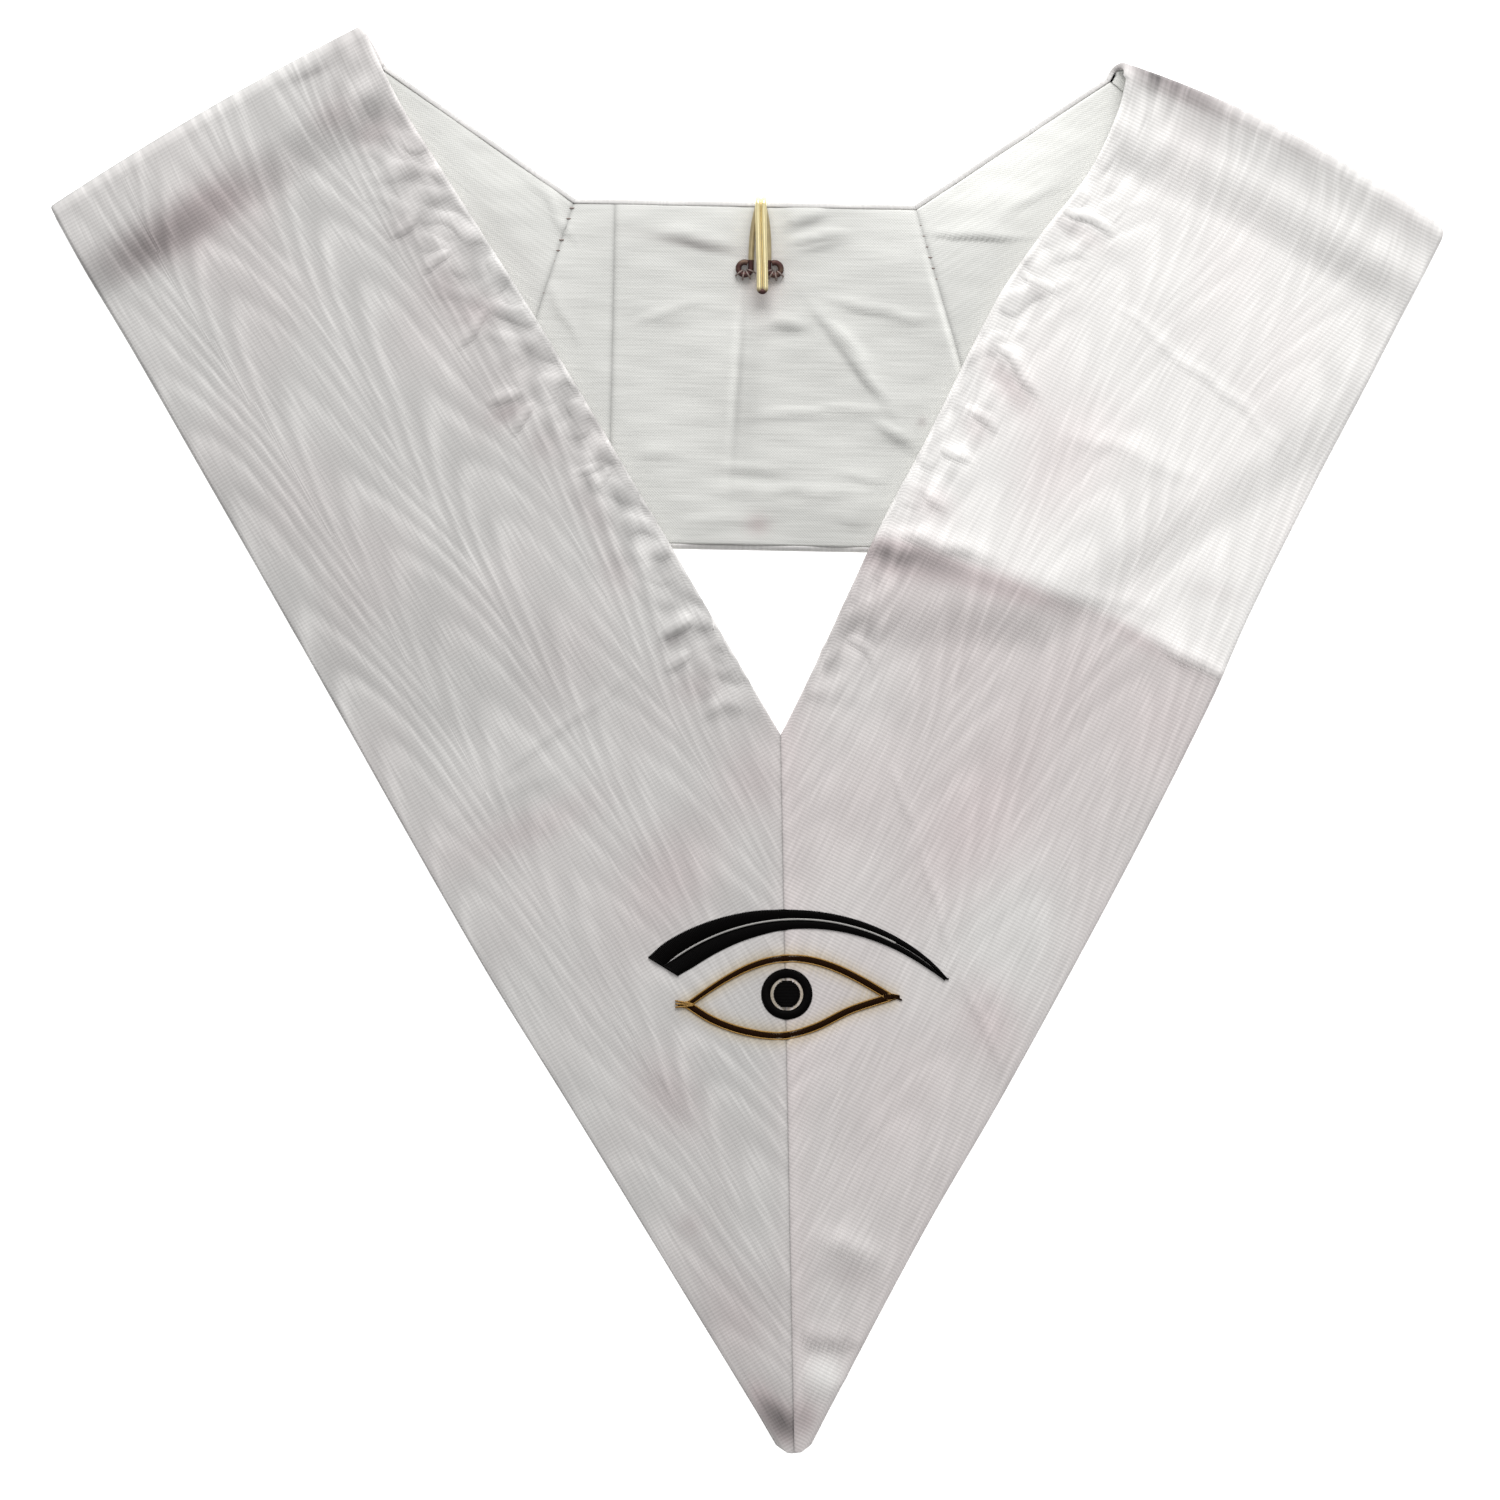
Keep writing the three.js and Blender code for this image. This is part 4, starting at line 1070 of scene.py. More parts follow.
def ribbon_looks(name, places, cloth, turns):
    """Tone with its painted light, sheen and shade, blush and gilt of a front band's ribbon, and its water
    marks.
    """
    x, y = places[..., 0], places[..., 1]
    across, along = cloth[..., 0], cloth[..., 1]
    # Painted shade and highlight of the band's folds, creases and puckers, with pink tints
    tone, blush = marked(SHADE_AND_BLUSH_MARKS[name], x, y)
    if name == "right":
        # Painted sheen over the whole right band, and painted light above the step, paler there and taken off
        # near the fold
        bright = smooth((y - curve(STEP_LINE, x)) / STEP_BLUR + 0.2)
        near_fold = smooth((along - LAYS[name].length + FOLD_REACH) / FOLD_BLUR)
        tone = tone + RIGHT_PAINTED_SHEEN + bright * (STEP_PAINTED_LIGHT - FOLD_SHADE * near_fold)
        blush = blush + RIGHT_BLUSH - STEP_PALENESS * bright
    else:
        # Painted shade on the left fold's rounded edge, and a painted highlight along the band's inner hem
        fold_edge = bell(turns - 0.5 * np.pi, 0.5)
        outer = smooth((across - FOLD_EDGE_START) / FOLD_EDGE_GROW)
        tone = tone - lerp(*FOLD_EDGE_SHADES, outer) * fold_edge
        tone = tone + HEM_HIGHLIGHT * bell(across - HEM_PLACE, HEM_WIDTH) * smooth(along / HEM_GROW)
        tone = tone + LEFT_POINT_TONE * (1 - smooth(along / LEFT_POINT_FADE))
    # Painted shadow along the centre seam, and a pale line beside it
    from_seam = np.abs(places[..., :2] @ right_of(SEAM_RUN))
    beside_seam = bell(from_seam - SEAM_TONE_PLACE, SEAM_TONE_WIDTH)
    tone = tone - SEAM_SHADOW * bell(from_seam, SEAM_LINE) + SEAM_TONE * beside_seam
    blush = blush + BLUSH_PATCHES * (ripple(x, y, *BLUSH_RIPPLE) - 0.35)
    blush = blush + SEAM_BLUSH * bell(from_seam, SEAM_BLUSH_REACH)
    tone = tone + TONE_PATCHES * (ripple(x, y, *TONE_RIPPLE) - 0.5)
    # Painted sheen and shade in patches over the gathers by the inner edge
    by_gathers = 1 - smooth((across - GATHER_SHEEN_END) / GATHER_SHEEN_FADE)
    gather_sheen = (ripple(along, 1.2 * across, *GATHER_SHEEN_RIPPLE) - 0.5) * by_gathers
    tone = tone + GATHER_SHEEN * gather_sheen * smooth(along / GATHER_SHEEN_GROW)
    halo, inside = round_eye(places)
    # Painted shade on the ribbon in the ring between the pupil and the iris, with a gilt tint
    from_pupil = np.linalg.norm(places[..., :2] - EYE_MIDDLE, axis=-1)
    ring = bell(from_pupil - 0.5 * (PUPIL_RADIUS + IRIS_RADIUS - IRIS_LINE), RING_WIDTH)
    tone = tone - INSIDE_SHADE * inside - RING_SHADE * ring - HALO_SHADE * halo ** 4
    gilt = np.maximum(halo, RING_GILT * ring)
    return {
        "tone": tone,
        "blush": np.clip(blush, 0.0, 1.0) * (1 - 0.6 * gilt),
        "gilt": gilt,
        "phase": water_phase(name, cloth),
        "water": water_strength(name, cloth) * (1 - inside),
    }


def add(tree, kind, inputs=None, **settings):
    """Adds a shader node with its settings. An input is a value, a socket, or a node for its first output."""
    node = tree.nodes.new("ShaderNode" + kind)
    for key, value in settings.items():
        setattr(node, key, value)
    for key, value in (inputs or {}).items():
        if isinstance(value, bpy.types.Node):
            value = value.outputs[0]
        if isinstance(value, bpy.types.NodeSocket):
            tree.links.new(value, node.inputs[key])
        else:
            node.inputs[key].default_value = value
    return node


def new_material(name, **shader_values):
    """A material with one Principled shader, whose even values are set on its own sockets."""
    material = bpy.data.materials.new(name)
    material.use_nodes = True
    tree = material.node_tree
    tree.nodes.clear()
    shader = add(tree, "BsdfPrincipled", shader_values)
    add(tree, "OutputMaterial", {"Surface": shader})
    return material, tree, shader


def attribute(tree, name, output="Fac"):
    """The socket of one of the mesh's own attributes."""
    return add(tree, "Attribute", attribute_name=name).outputs[output]


def shaded(tree, base, shade, blush, blush_colour):
    """Base colour times shade, drawn towards a pink by the blush attribute."""
    lit = add(tree, "VectorMath", {0: base[:3], "Scale": shade}, operation="SCALE")
    pink = add(tree, "VectorMath", {0: lit, 1: blush_colour[:3]}, operation="MULTIPLY")
    mix = add(tree, "Mix", {"Factor": blush, "A": lit, "B": pink}, data_type="VECTOR")
    return mix.outputs["Result"]


def moire_faille(cloth):
    """Moire faille: a ribbed silk-like ribbon, calendered so that crushed ribs shine in bundles of lines.

    Ribs are drawn 1 mm apart, twice as coarse as woven, so that they show, as are the streaks of the warp.
    """
    material, tree, shader = new_material(
        RIBBON_CLOTH, **{"IOR": 1.5, "Sheen Weight": 0.12, "Sheen Roughness": 0.4})
    weave = attribute(tree, "weave", "Vector")
    turn = add(tree, "Math", {0: attribute(tree, "phase"), 1: 2 * np.pi}, operation="MULTIPLY")
    arch = add(tree, "Math", {0: turn}, operation="COSINE")
    twice = add(tree, "Math", {0: turn, 1: 2.0, 2: -0.85}, operation="MULTIPLY_ADD")
    line = add(tree, "Math", {0: twice}, operation="COSINE")
    soft = add(tree, "Math", {0: line, 1: 0.28, 2: arch}, operation="MULTIPLY_ADD")

    warp = add(tree, "Mapping", {"Vector": weave, "Scale": (1 / STREAK_WIDTH, 1 / STREAK_LENGTH, 1.0)})
    streak = add(tree, "TexNoise", {"Vector": warp, "Scale": 1.0, "Detail": 3.0})
    grain = add(tree, "Math", {0: streak, 1: 0.5}, operation="SUBTRACT")
    frayed = add(tree, "MapRange", {
        "Value": streak, "From Min": 0.35, "From Max": 0.65, "To Min": 0.6, "To Max": 1.3})
    broken = add(tree, "Math", {0: soft, 1: frayed}, operation="MULTIPLY")
    water = add(tree, "Math", {0: broken, 1: attribute(tree, "water")}, operation="MULTIPLY")
    split = add(tree, "SeparateXYZ", {0: weave})
    rib_rate = 2 * np.pi / RIB_SPACING
    rib_turn = add(tree, "Math", {0: split.outputs["Y"], 1: rib_rate}, operation="MULTIPLY")
    ribs = add(tree, "Math", {0: rib_turn}, operation="SINE")

    # The tone attribute carries painted shade and highlight as well as the cloth's uneven tone
    level = add(tree, "Math", {0: attribute(tree, "tone"), 1: 1.0}, operation="ADD")
    watered = add(tree, "Math", {0: water, 1: cloth.moire, 2: level}, operation="MULTIPLY_ADD")
    streaked = add(tree, "Math", {0: grain, 1: STREAK_SHADE, 2: watered}, operation="MULTIPLY_ADD")
    shade = add(tree, "Math", {0: ribs, 1: RIB_SHADE, 2: streaked}, operation="MULTIPLY_ADD")
    colour = shaded(tree, cloth.ribbon, shade, attribute(tree, "blush"), cloth.blush)
    gilded = add(tree, "VectorMath", {0: colour, 1: cloth.gilt[:3]}, operation="MULTIPLY")
    gilt = attribute(tree, "gilt")
    final = add(tree, "Mix", {"Factor": gilt, "A": colour, "B": gilded}, data_type="VECTOR")
    tree.links.new(final.outputs["Result"], shader.inputs["Base Color"])

    gloss = add(tree, "MapRange", {
        "Value": water, "From Min": -1.0, "From Max": 1.0, "To Min": 0.66, "To Max": 0.5})
    tree.links.new(gloss.outputs[0], shader.inputs["Roughness"])
    ribbed = add(tree, "Math", {0: ribs, 1: RIB_RELIEF, 2: grain}, operation="MULTIPLY_ADD")
    bump = add(tree, "Bump", {"Height": ribbed, "Distance": RIBBON_DEPTH * MM, "Strength": 1.0})
    tree.links.new(bump.outputs[0], shader.inputs["Normal"])
    return material


def cotton_percale(cloth):
    """Cotton percale: plain-woven matt lining, with slubs that run along the neck's width.

    Its threads are drawn 0.8 mm apart, three times as coarse as woven, so that they show.
    """
    material, tree, shader = new_material(
        LINING_CLOTH, **{"IOR": 1.5, "Roughness": 0.92, "Sheen Weight": 0.1, "Sheen Roughness": 0.6})
    weave = attribute(tree, "weave", "Vector")
    turns = add(tree, "VectorMath", {0: weave, "Scale": 2 * np.pi / WEAVE_SPACING}, operation="SCALE")
    wave = add(tree, "VectorMath", {0: turns}, operation="SINE")
    split = add(tree, "SeparateXYZ", {0: wave})
    crossed = {0: split.outputs["X"], 1: split.outputs["Y"]}
    threads = add(tree, "Math", crossed, operation="MULTIPLY")
    warp = add(tree, "Mapping", {"Vector": weave, "Scale": (1 / SLUB_LENGTH, 1 / SLUB_WIDTH, 1.0)})
    slub = add(tree, "TexNoise", {"Vector": warp, "Scale": 1.0, "Detail": 3.0})
    uneven = add(tree, "Math", {0: slub, 1: 0.5}, operation="SUBTRACT")
    # The tone attribute carries painted shade and highlight as well as the cloth's uneven tone
    level = add(tree, "Math", {0: attribute(tree, "tone"), 1: 1.0}, operation="ADD")
    slubbed = add(tree, "Math", {0: uneven, 1: SLUB_SHADE, 2: level}, operation="MULTIPLY_ADD")
    shade = add(tree, "Math", {0: threads, 1: WEAVE_SHADE, 2: slubbed}, operation="MULTIPLY_ADD")
    colour = shaded(tree, cloth.lining, shade, attribute(tree, "blush"), cloth.blush)
    tree.links.new(colour, shader.inputs["Base Color"])
    relief = add(tree, "Math", {0: threads, 1: WEAVE_RELIEF, 2: uneven}, operation="MULTIPLY_ADD")
    bump = add(tree, "Bump", {"Height": relief, "Distance": LINING_DEPTH * MM, "Strength": 1.0})
    tree.links.new(bump.outputs[0], shader.inputs["Normal"])
    return material


def spun_thread(name, colour, roughness, metallic=0.0, specular=0.5):
    """Twisted embroidery thread: fibres of slightly uneven shade, with a soft gloss along them."""
    material, tree, shader = new_material(
        name, **{"Roughness": roughness, "Metallic": metallic, "Specular IOR Level": specular})
    place = add(tree, "TexCoord").outputs["Object"]
    fibre = add(tree, "TexNoise", {"Vector": place, "Scale": 1 / (FIBRE_SIZE * MM), "Detail": 2.0})
    light = add(tree, "MapRange", {
        "Value": fibre, "To Min": 1 - FIBRE_SHADE, "To Max": 1 + FIBRE_SHADE})
    lit = add(tree, "VectorMath", {0: colour[:3], "Scale": light}, operation="SCALE")
    tree.links.new(lit.outputs[0], shader.inputs["Base Color"])
    bump = add(tree, "Bump", {"Height": fibre, "Distance": FIBRE_DEPTH * MM, "Strength": 1.0})
    tree.links.new(bump.outputs[0], shader.inputs["Normal"])
    return material


def drawn_brass(hook):
    """Drawn brass wire: bright and warm on the tongue, red-brown where the patina attribute says.

    That attribute holds the patina of the shank and by the eyes, and painted shadow at the tongue's tip.
    """
    material, tree, shader = new_material("Drawn brass wire", **{"Metallic": 0.6})
    place = add(tree, "TexCoord").outputs["Object"]
    spots = add(tree, "TexNoise", {"Vector": place, "Scale": 1 / (STAIN_SIZE * MM), "Detail": 3.0})
    patina = attribute(tree, "patina")
    stains_patina_and_shadow = add(tree, "Math", {0: spots, 1: STAIN_SHADE, 2: patina}, operation="MULTIPLY_ADD")
    amount = add(tree, "MapRange", {"Value": stains_patina_and_shadow, "From Min": 0.15, "From Max": 1.15})
    tones = {"Factor": amount, "A": hook.brass[:3], "B": hook.patina[:3]}
    toned = add(tree, "Mix", tones, data_type="VECTOR")
    tree.links.new(toned.outputs["Result"], shader.inputs["Base Color"])
    gloss = add(tree, "MapRange", {"Value": amount, "To Min": 0.3, "To Max": 0.6})
    tree.links.new(gloss.outputs[0], shader.inputs["Roughness"])
    return material


def edged(tones, bent, source, rows):
    """Painted highlight or shade, as change of brightness, at each point of a shell that lies round one of its
    two long edges.
    """
    return bent * np.where(np.tile(source == 0, rows), *tones)


def front_band(name, cloth):
    """Builds one front band's ribbon and lining through its shoulder fold."""
    places, woven, turns = band_surface(name, BAND_SPACING, cloth.gather)
    face, inner, rim = GAP / 2 + RIBBON_WALL, GAP / 2, -GAP / 2 - LINING_WALL + RIM_CLEARANCE
    points, tables, source, bent = shell(places, face, inner, rim)
    looks = {key: spread(values, source) for key, values in ribbon_looks(name, places, woven, turns).items()}
    # Painted highlight and shade round the band's rounded edges
    looks["tone"] += edged(EDGE_LIGHT_AND_SHADE[f"front_band_{name}"], bent, source, len(places))
    ribbon = new_piece(
        f"front_band_{name}", points, tables, cloth_material("ribbon"), "ribbon_moire",
        [f"ribbon_front_{name}"], weave=weave_of(woven, source), **looks)

    places, woven, turns = band_surface(name, LINING_SPACING, cloth.gather)
    points, tables, source, _ = shell(places, -GAP / 2 - LINING_WALL, -GAP / 2, trim=LINING_INSET)
    # Painted shade and highlight of the lining's creases, where it is turned over
    tone = spread(marked(SHADE_AND_BLUSH_MARKS["lining"], places[..., 0], places[..., 1])[0] * (turns > np.pi / 2), source)
    lining = new_piece(
        f"front_lining_{name}", points, tables, cloth_material("lining"), "lining_cotton",
        [f"lining_front_{name}"], weave=weave_of(woven, source), tone=tone, blush=0 * tone)


def cloth_material(key):
    """The ribbon's or the lining's material, made once."""
    name, make = {"ribbon": (RIBBON_CLOTH, moire_faille), "lining": (LINING_CLOTH, cotton_percale)}[key]
    return bpy.data.materials.get(name) or make(bpy.context.scene.collar_cloth)


def inset_corners(corners, insets):
    """A panel's corners with each edge moved inwards; edge k runs from corner k to the next one."""
    middle = np.mean(corners, axis=0)
    lines = []
    for k, corner in enumerate(corners):
        run = unit(corners[(k + 1) % len(corners)] - corner)
        inward = -right_of(run)
        inward *= np.sign((middle - corner) @ inward)
        lines.append((corner + inward * insets[k], run))
    return [meet(*lines[k - 1], *lines[k]) for k in range(len(lines))]


def strap_relief(x, y):
    """Height of the lining's creases and slack where it shows: not under the front bands, nor the hook."""
    place = np.stack([x, y], axis=-1)
    down = np.clip((place - HOOK_TOP) @ NECK_DOWN, 0, HOOK_LENGTH)
    from_hook = np.linalg.norm(place - HOOK_TOP - down[..., None] * NECK_DOWN, axis=-1)
    shown = smooth(from_hook / HOOK_CLEARING - 1)
    for band in BANDS.values():
        along = place @ band.run
        covered = place @ band.side - band.inner(along)
        shown = shown * smooth(-covered / COVERED_FADE)
    slack = LINING_SLACK * (ripple(x, y, *SLACK_RIPPLE) + 0.5 * ripple(x / 3, y, *FINE_SLACK_RIPPLE))
    return (np.maximum(pressed(CREASES["lining"], x, y), 0.0) + slack) * shown


def panel_surface(corners, spacing, lining):
    """A four-sided panel, lerped between its upper and lower edges, with columns down from edge to edge.

    Returns its places, and how far each lies from the panel's nearer end, where a lining dips into its seam.
    """
    length = max(np.linalg.norm(corners[1] - corners[0]), np.linalg.norm(corners[2] - corners[3]))
    ends = SEAM_ROWS[:-1] / length
    even = np.linspace(SEAM_ROWS[-1] / length, 1 - SEAM_ROWS[-1] / length, int(round(length / spacing)))
    along = np.concatenate([ends, even, 1 - ends[::-1]])[:, None, None]
    down = column_shares(np.linalg.norm(corners[3] - corners[0]), spacing)[None, :, None]
    first, last = lerp(corners[0], corners[3], down), lerp(corners[1], corners[2], down)
    flat = lerp(first, last, along)
    from_end = np.linalg.norm(last - first, axis=-1) * np.minimum(along, 1 - along)[..., 0]
    height = np.full(from_end.shape, LAY_FACE_DOWN)
    if lining:
        height += strap_relief(flat[..., 0], flat[..., 1]) - LINING_DIP * bell(from_end, LINING_DIP_WIDTH)
    return np.dstack([flat, height]), from_end


def strap(name, corners, spacing, nodes, lining):
    """Builds one strap panel: ribbon, face down with its long edges turned up, or the lining over it."""
    edge = LINING_INSET if lining else 0.0
    corners = inset_corners(corners, [edge, SEAM_MEET, edge, SEAM_MEET])
    places, from_end = panel_surface(corners, spacing, lining)
    x, y = places[..., 0], places[..., 1]
    run = unit(corners[1] - corners[0])
    offset = places[..., :2] - places[0, 0, :2]
    woven = np.stack([offset @ run, offset @ right_of(run)], axis=-1)
    if lining:
        points, tables, source, bent = shell(places, GAP / 2 + LINING_WALL, GAP / 2)
        # Painted shade and highlight of the lining's creases and seams, with pink tints
        tone, blush = marked(SHADE_AND_BLUSH_MARKS["lining"], x, y)
        tone = tone + LINING_PATCHES * (ripple(x, y, *LINING_RIPPLE) - 0.5)
        # Painted shadow along the seam at each end of the panel
        tone = tone - LINING_SEAM_SHADOW * bell(from_end, LINING_LINE)
        looks = {"tone": tone, "blush": np.clip(blush, 0, 1)}
        material, slot = cloth_material("lining"), "lining_cotton"
    else:
        face, inner, rim = -GAP / 2 - RIBBON_WALL, -GAP / 2, GAP / 2 + LINING_WALL - RIM_CLEARANCE
        points, tables, source, _ = shell(places, face, inner, rim)
        plain = np.zeros_like(x)
        looks = {"tone": plain, "blush": plain, "gilt": plain}
        looks.update(phase=woven[..., 0] / PLAIN_PITCH, water=plain + PLAIN_WATER)
        material, slot = cloth_material("ribbon"), "ribbon_moire"
    looks = {key: spread(values, source) for key, values in looks.items()}
    if lining:
        # Painted shadow along the lining's edges
        looks["tone"] += edged(EDGE_LIGHT_AND_SHADE[name], bent, source, len(places))
    piece = new_piece(name, points, tables, material, slot, nodes, weave=weave_of(woven, source), **looks)


def tubes(paths, radius, sides, reference):
    """Round tubes along paths of (tube, step, place), framed by each tangent and one reference direction."""
    count, steps = paths.shape[:2]
    tangent = np.gradient(paths, axis=1)
    tangent = tangent / np.maximum(np.linalg.norm(tangent, axis=-1, keepdims=True), 1e-9)
    beside = unit(np.cross(tangent, reference))
    above = np.cross(beside, tangent)
    angle = np.linspace(0, 2 * np.pi, sides, endpoint=False)
    ring = beside[:, :, None] * np.cos(angle)[:, None] + above[:, :, None] * np.sin(angle)[:, None]
    points = paths[:, :, None] + radius * ring
    index = np.arange(count * steps * sides).reshape(count, steps, sides)
    here, there = index[:, :-1], index[:, 1:]
    quads = np.stack([here, np.roll(here, -1, axis=2), np.roll(there, -1, axis=2), there], axis=-1)
    tables = [quads.reshape(-1, 4), index[:, 0, ::-1], index[:, -1]]
    return points.reshape(-1, 3), outward(points.reshape(-1, 3), tables)


def satin(starts, ends, base, rise, pitch):
    """Satin stitches from starts to ends, side by side, each arching as a half ellipse of the given rise."""
    share = (1 - np.cos(np.linspace(0, np.pi, THREAD_STEPS))) / 2
    flat = lerp(starts[:, None], ends[:, None], share[None, :, None])
    arch = base - pitch / 2 + rise * np.sqrt(np.maximum(4 * share * (1 - share), 0.0))
    paths = np.dstack([flat, np.broadcast_to(arch, flat.shape[:2])])
    return tubes(paths, THREAD_SHARE * pitch, THREAD_SIDES, UP)


def laid_thread(line, laid):
    """One thread laid along a line on the ribbon."""
    path = np.column_stack([line, np.full(len(line), FACE_TOP + laid.height)])
    return tubes(path[None], laid.radius, THREAD_SIDES, UP)


def stray_thread(corner, run, heights, laid):
    """A short thread at a corner of the brow or the lids: sideways along run, at the given heights."""
    return laid_thread(corner + np.column_stack([np.linspace(*run, len(heights)), heights]), laid)


def joined(parts):
    """Joins meshes given as (points, tables) into one."""
    points = np.vstack([part[0] for part in parts])
    starts = np.cumsum([0] + [len(part[0]) for part in parts[:-1]])
    tables = [table + start for (_, tables), start in zip(parts, starts) for table in tables]
    return points, tables


def evenly(line, pitch):
    """A line resampled at even steps of about the pitch."""
    lengths = np.concatenate(([0.0], np.cumsum(np.linalg.norm(np.diff(line, axis=0), axis=1))))
    count = max(int(round(lengths[-1] / pitch)), 2)
    stations = np.linspace(0, lengths[-1], count + 1)
    return np.column_stack([np.interp(stations, lengths, line[:, k]) for k in range(line.shape[1])])


def sideways(line):
    """Unit normals of a flat line, to the left of its run."""
    run = unit(np.gradient(line, axis=0))
    return np.column_stack([-run[:, 1], run[:, 0]])


def brow_line(share, side):
    """A line along the brow's arc, at a share of its half thickness above or below the middle."""
    angle = np.radians(lerp(-BROW_LEFT - BROW_CUT * side, BROW_RIGHT, share))
    half = curve(BROW_SECTIONS, share) * BROW_THICKNESS / 2
    radius = BROW_RADIUS + side * half
    centre = EYE_MIDDLE + np.array([BROW_SHIFT, BROW_RISE - BROW_RADIUS])
    return centre + np.column_stack([np.sin(angle), np.cos(angle)]) * radius[:, None]


def lid_line(upper, pitch):
    """One lid from corner to corner, drawn out a little past each corner."""
    x = np.linspace(-EYE_LENGTH / 2, EYE_LENGTH / 2, 200)
    line = np.column_stack([x, lid_height(x, upper)])
    tips = np.array([[-EYE_TIP, 0.0], [EYE_TIP, 0.0]])
    line = np.vstack([line[:1] + tips[:1], line, line[-1:] + tips[1:]])
    run = turned(EYE_TILT)
    tilted = line[:, :1] * run - line[:, 1:] * right_of(run)
    return evenly(LIDS_MIDDLE + tilted, pitch)


def hook_path():
    """The hook's wire from its left sewing eye up the shank, over the bend, round the tip and back."""
    bend_top = -WIRE / 2 - HOOK_BEND
    sweep = np.radians(np.linspace(HOOK_EYE_SWEEP, 0, 60))
    eye_x = HOOK_SHANK_HALF + HOOK_EYE_RADIUS * (1 - np.cos(sweep))
    eye_y = -HOOK_EYE_DROP - HOOK_EYE_RADIUS * np.sin(sweep)
    eye = np.column_stack([eye_x, eye_y, 0 * sweep])
    share = np.linspace(0, 1, 40)[1:-1]
    shank_x = lerp(HOOK_SHANK_HALF, HOOK_TONGUE_HALF, share ** 3)
    shank = np.column_stack([shank_x, lerp(-HOOK_EYE_DROP, bend_top, share), 0 * share])
    over = np.linspace(0, np.pi, 40)
    bend_x, bend_y = np.full_like(over, HOOK_TONGUE_HALF), bend_top + HOOK_BEND * np.sin(over)
    bend = np.column_stack([bend_x, bend_y, HOOK_BEND * (1 - np.cos(over))])
    tip_middle = -HOOK_LENGTH + WIRE / 2 + HOOK_TONGUE_HALF
    down = np.linspace(0, 1, 40)[1:]
    tongue_x, tongue_y = np.full_like(down, HOOK_TONGUE_HALF), lerp(bend_top, tip_middle, down)
    tongue = np.column_stack([tongue_x, tongue_y, 2 * HOOK_BEND - HOOK_TIP_DIP * down ** 2])
    tip = np.radians(np.linspace(0, 90, 20)[1:])
    tip_x, tip_y = HOOK_TONGUE_HALF * np.cos(tip), tip_middle - HOOK_TONGUE_HALF * np.sin(tip)
    tip = np.column_stack([tip_x, tip_y, np.full_like(tip_x, 2 * HOOK_BEND - HOOK_TIP_DIP)])
    half = np.vstack([eye, shank, bend, tongue, tip])
    mirrored = half[::-1][1:] * np.array([-1.0, 1.0, 1.0])
    return evenly(np.vstack([half, mirrored]), WIRE_STEP)


def hook_place(local):
    """The hook's own points on the lining, turned with the neck strap."""
    up = -NECK_DOWN
    height = LINING_TOP + GAP + WIRE / 2
    flat = HOOK_TOP + local[:, :1] * NECK_RUN + local[:, 1:2] * up
    return np.column_stack([flat, height + local[:, 2]])


def colour(name, code, description):
    """A colour property, whose default is an sRGB hex code."""
    return bpy.props.FloatVectorProperty(
        name=name, description=description, subtype="COLOR", default=linear(code))


def number(name, default, description, low=0.0, **unit):
    """A number property, with its lowest value and its unit or subtype."""
    return bpy.props.FloatProperty(name=name, description=description, default=default, min=low, **unit)


class CollarCloth(bpy.types.PropertyGroup):
    """Sizes and colours of the cloth."""

    ribbon: colour("Ribbon", "#c9c7c5", "Colour of the moire ribbon")
    lining: colour("Lining", "#d8d8d4", "Colour of the cotton lining")
    blush: colour("Blush", "#f9eef0", "Tint of the pinkish places")
    gilt: colour("Gilt", "#f9e9c8", "Tint beside the gilt thread")
    moire: number("Moire", 0.088, "Strength of the water marks", subtype="FACTOR")
    gather: number("Gathers", 0.8, "Height of the gathers at the inner edges, in millimetres")


class CollarThread(bpy.types.PropertyGroup):
    """Sizes and colours of the embroidery."""

    black: colour("Black", "#050404", "Colour of the brow, the iris and the pupil")
    umber: colour("Umber", "#231104", "Colour of the lids' stitches")
    gold: colour("Gold", "#957030", "Colour of the lids' gilt edging")
    pale: colour("Pale", "#a3a19e", "Colour of the line in the brow")
    sewing: colour("Sewing", "#877873", "Colour of the sewing thread")
    pitch: number("Pitch", 0.42, "Distance between stitches, in millimetres", low=0.2)
    rise: number("Rise", 0.75, "Height of the satin stitch, in millimetres", low=0.1)


class CollarHook(bpy.types.PropertyGroup):
    """Colours of the hook."""

    brass: colour("Brass", "#fff0bc", "Colour of the bright wire")
    patina: colour("Patina", "#4e3230", "Colour of the toned wire")


class CollarStage(bpy.types.PropertyGroup):
    """Floor, light and camera."""

    floor: colour("Floor", "#fbfbfb", "Colour of the floor")
    key: number("Key", 25.2, "Power of the light from beyond the neck", subtype="POWER", unit="POWER")
    top: number("Top", 1.56, "Power of the light straight above", subtype="POWER", unit="POWER")
    sky: number("Sky", 0.36, "Strength of the even light")
    glow: number("Glow", 0.75, "Strength of the floor's own light")
    lens: number("Lens", 150.0, "Focal length of the camera, in millimetres", low=20.0)
    view: number("View", 0.42975, "Width that the camera sees", subtype="DISTANCE", unit="LENGTH")


class COLLAR_OT_front_bands(bpy.types.Operator):
    """Build the two front bands, each a ribbon and its lining, folded back at the shoulder"""

    bl_idname = "collar.front_bands"
    bl_label = "Front Bands"

    def execute(self, context):
        for name in BANDS:
            front_band(name, context.scene.collar_cloth)
        return {"FINISHED"}


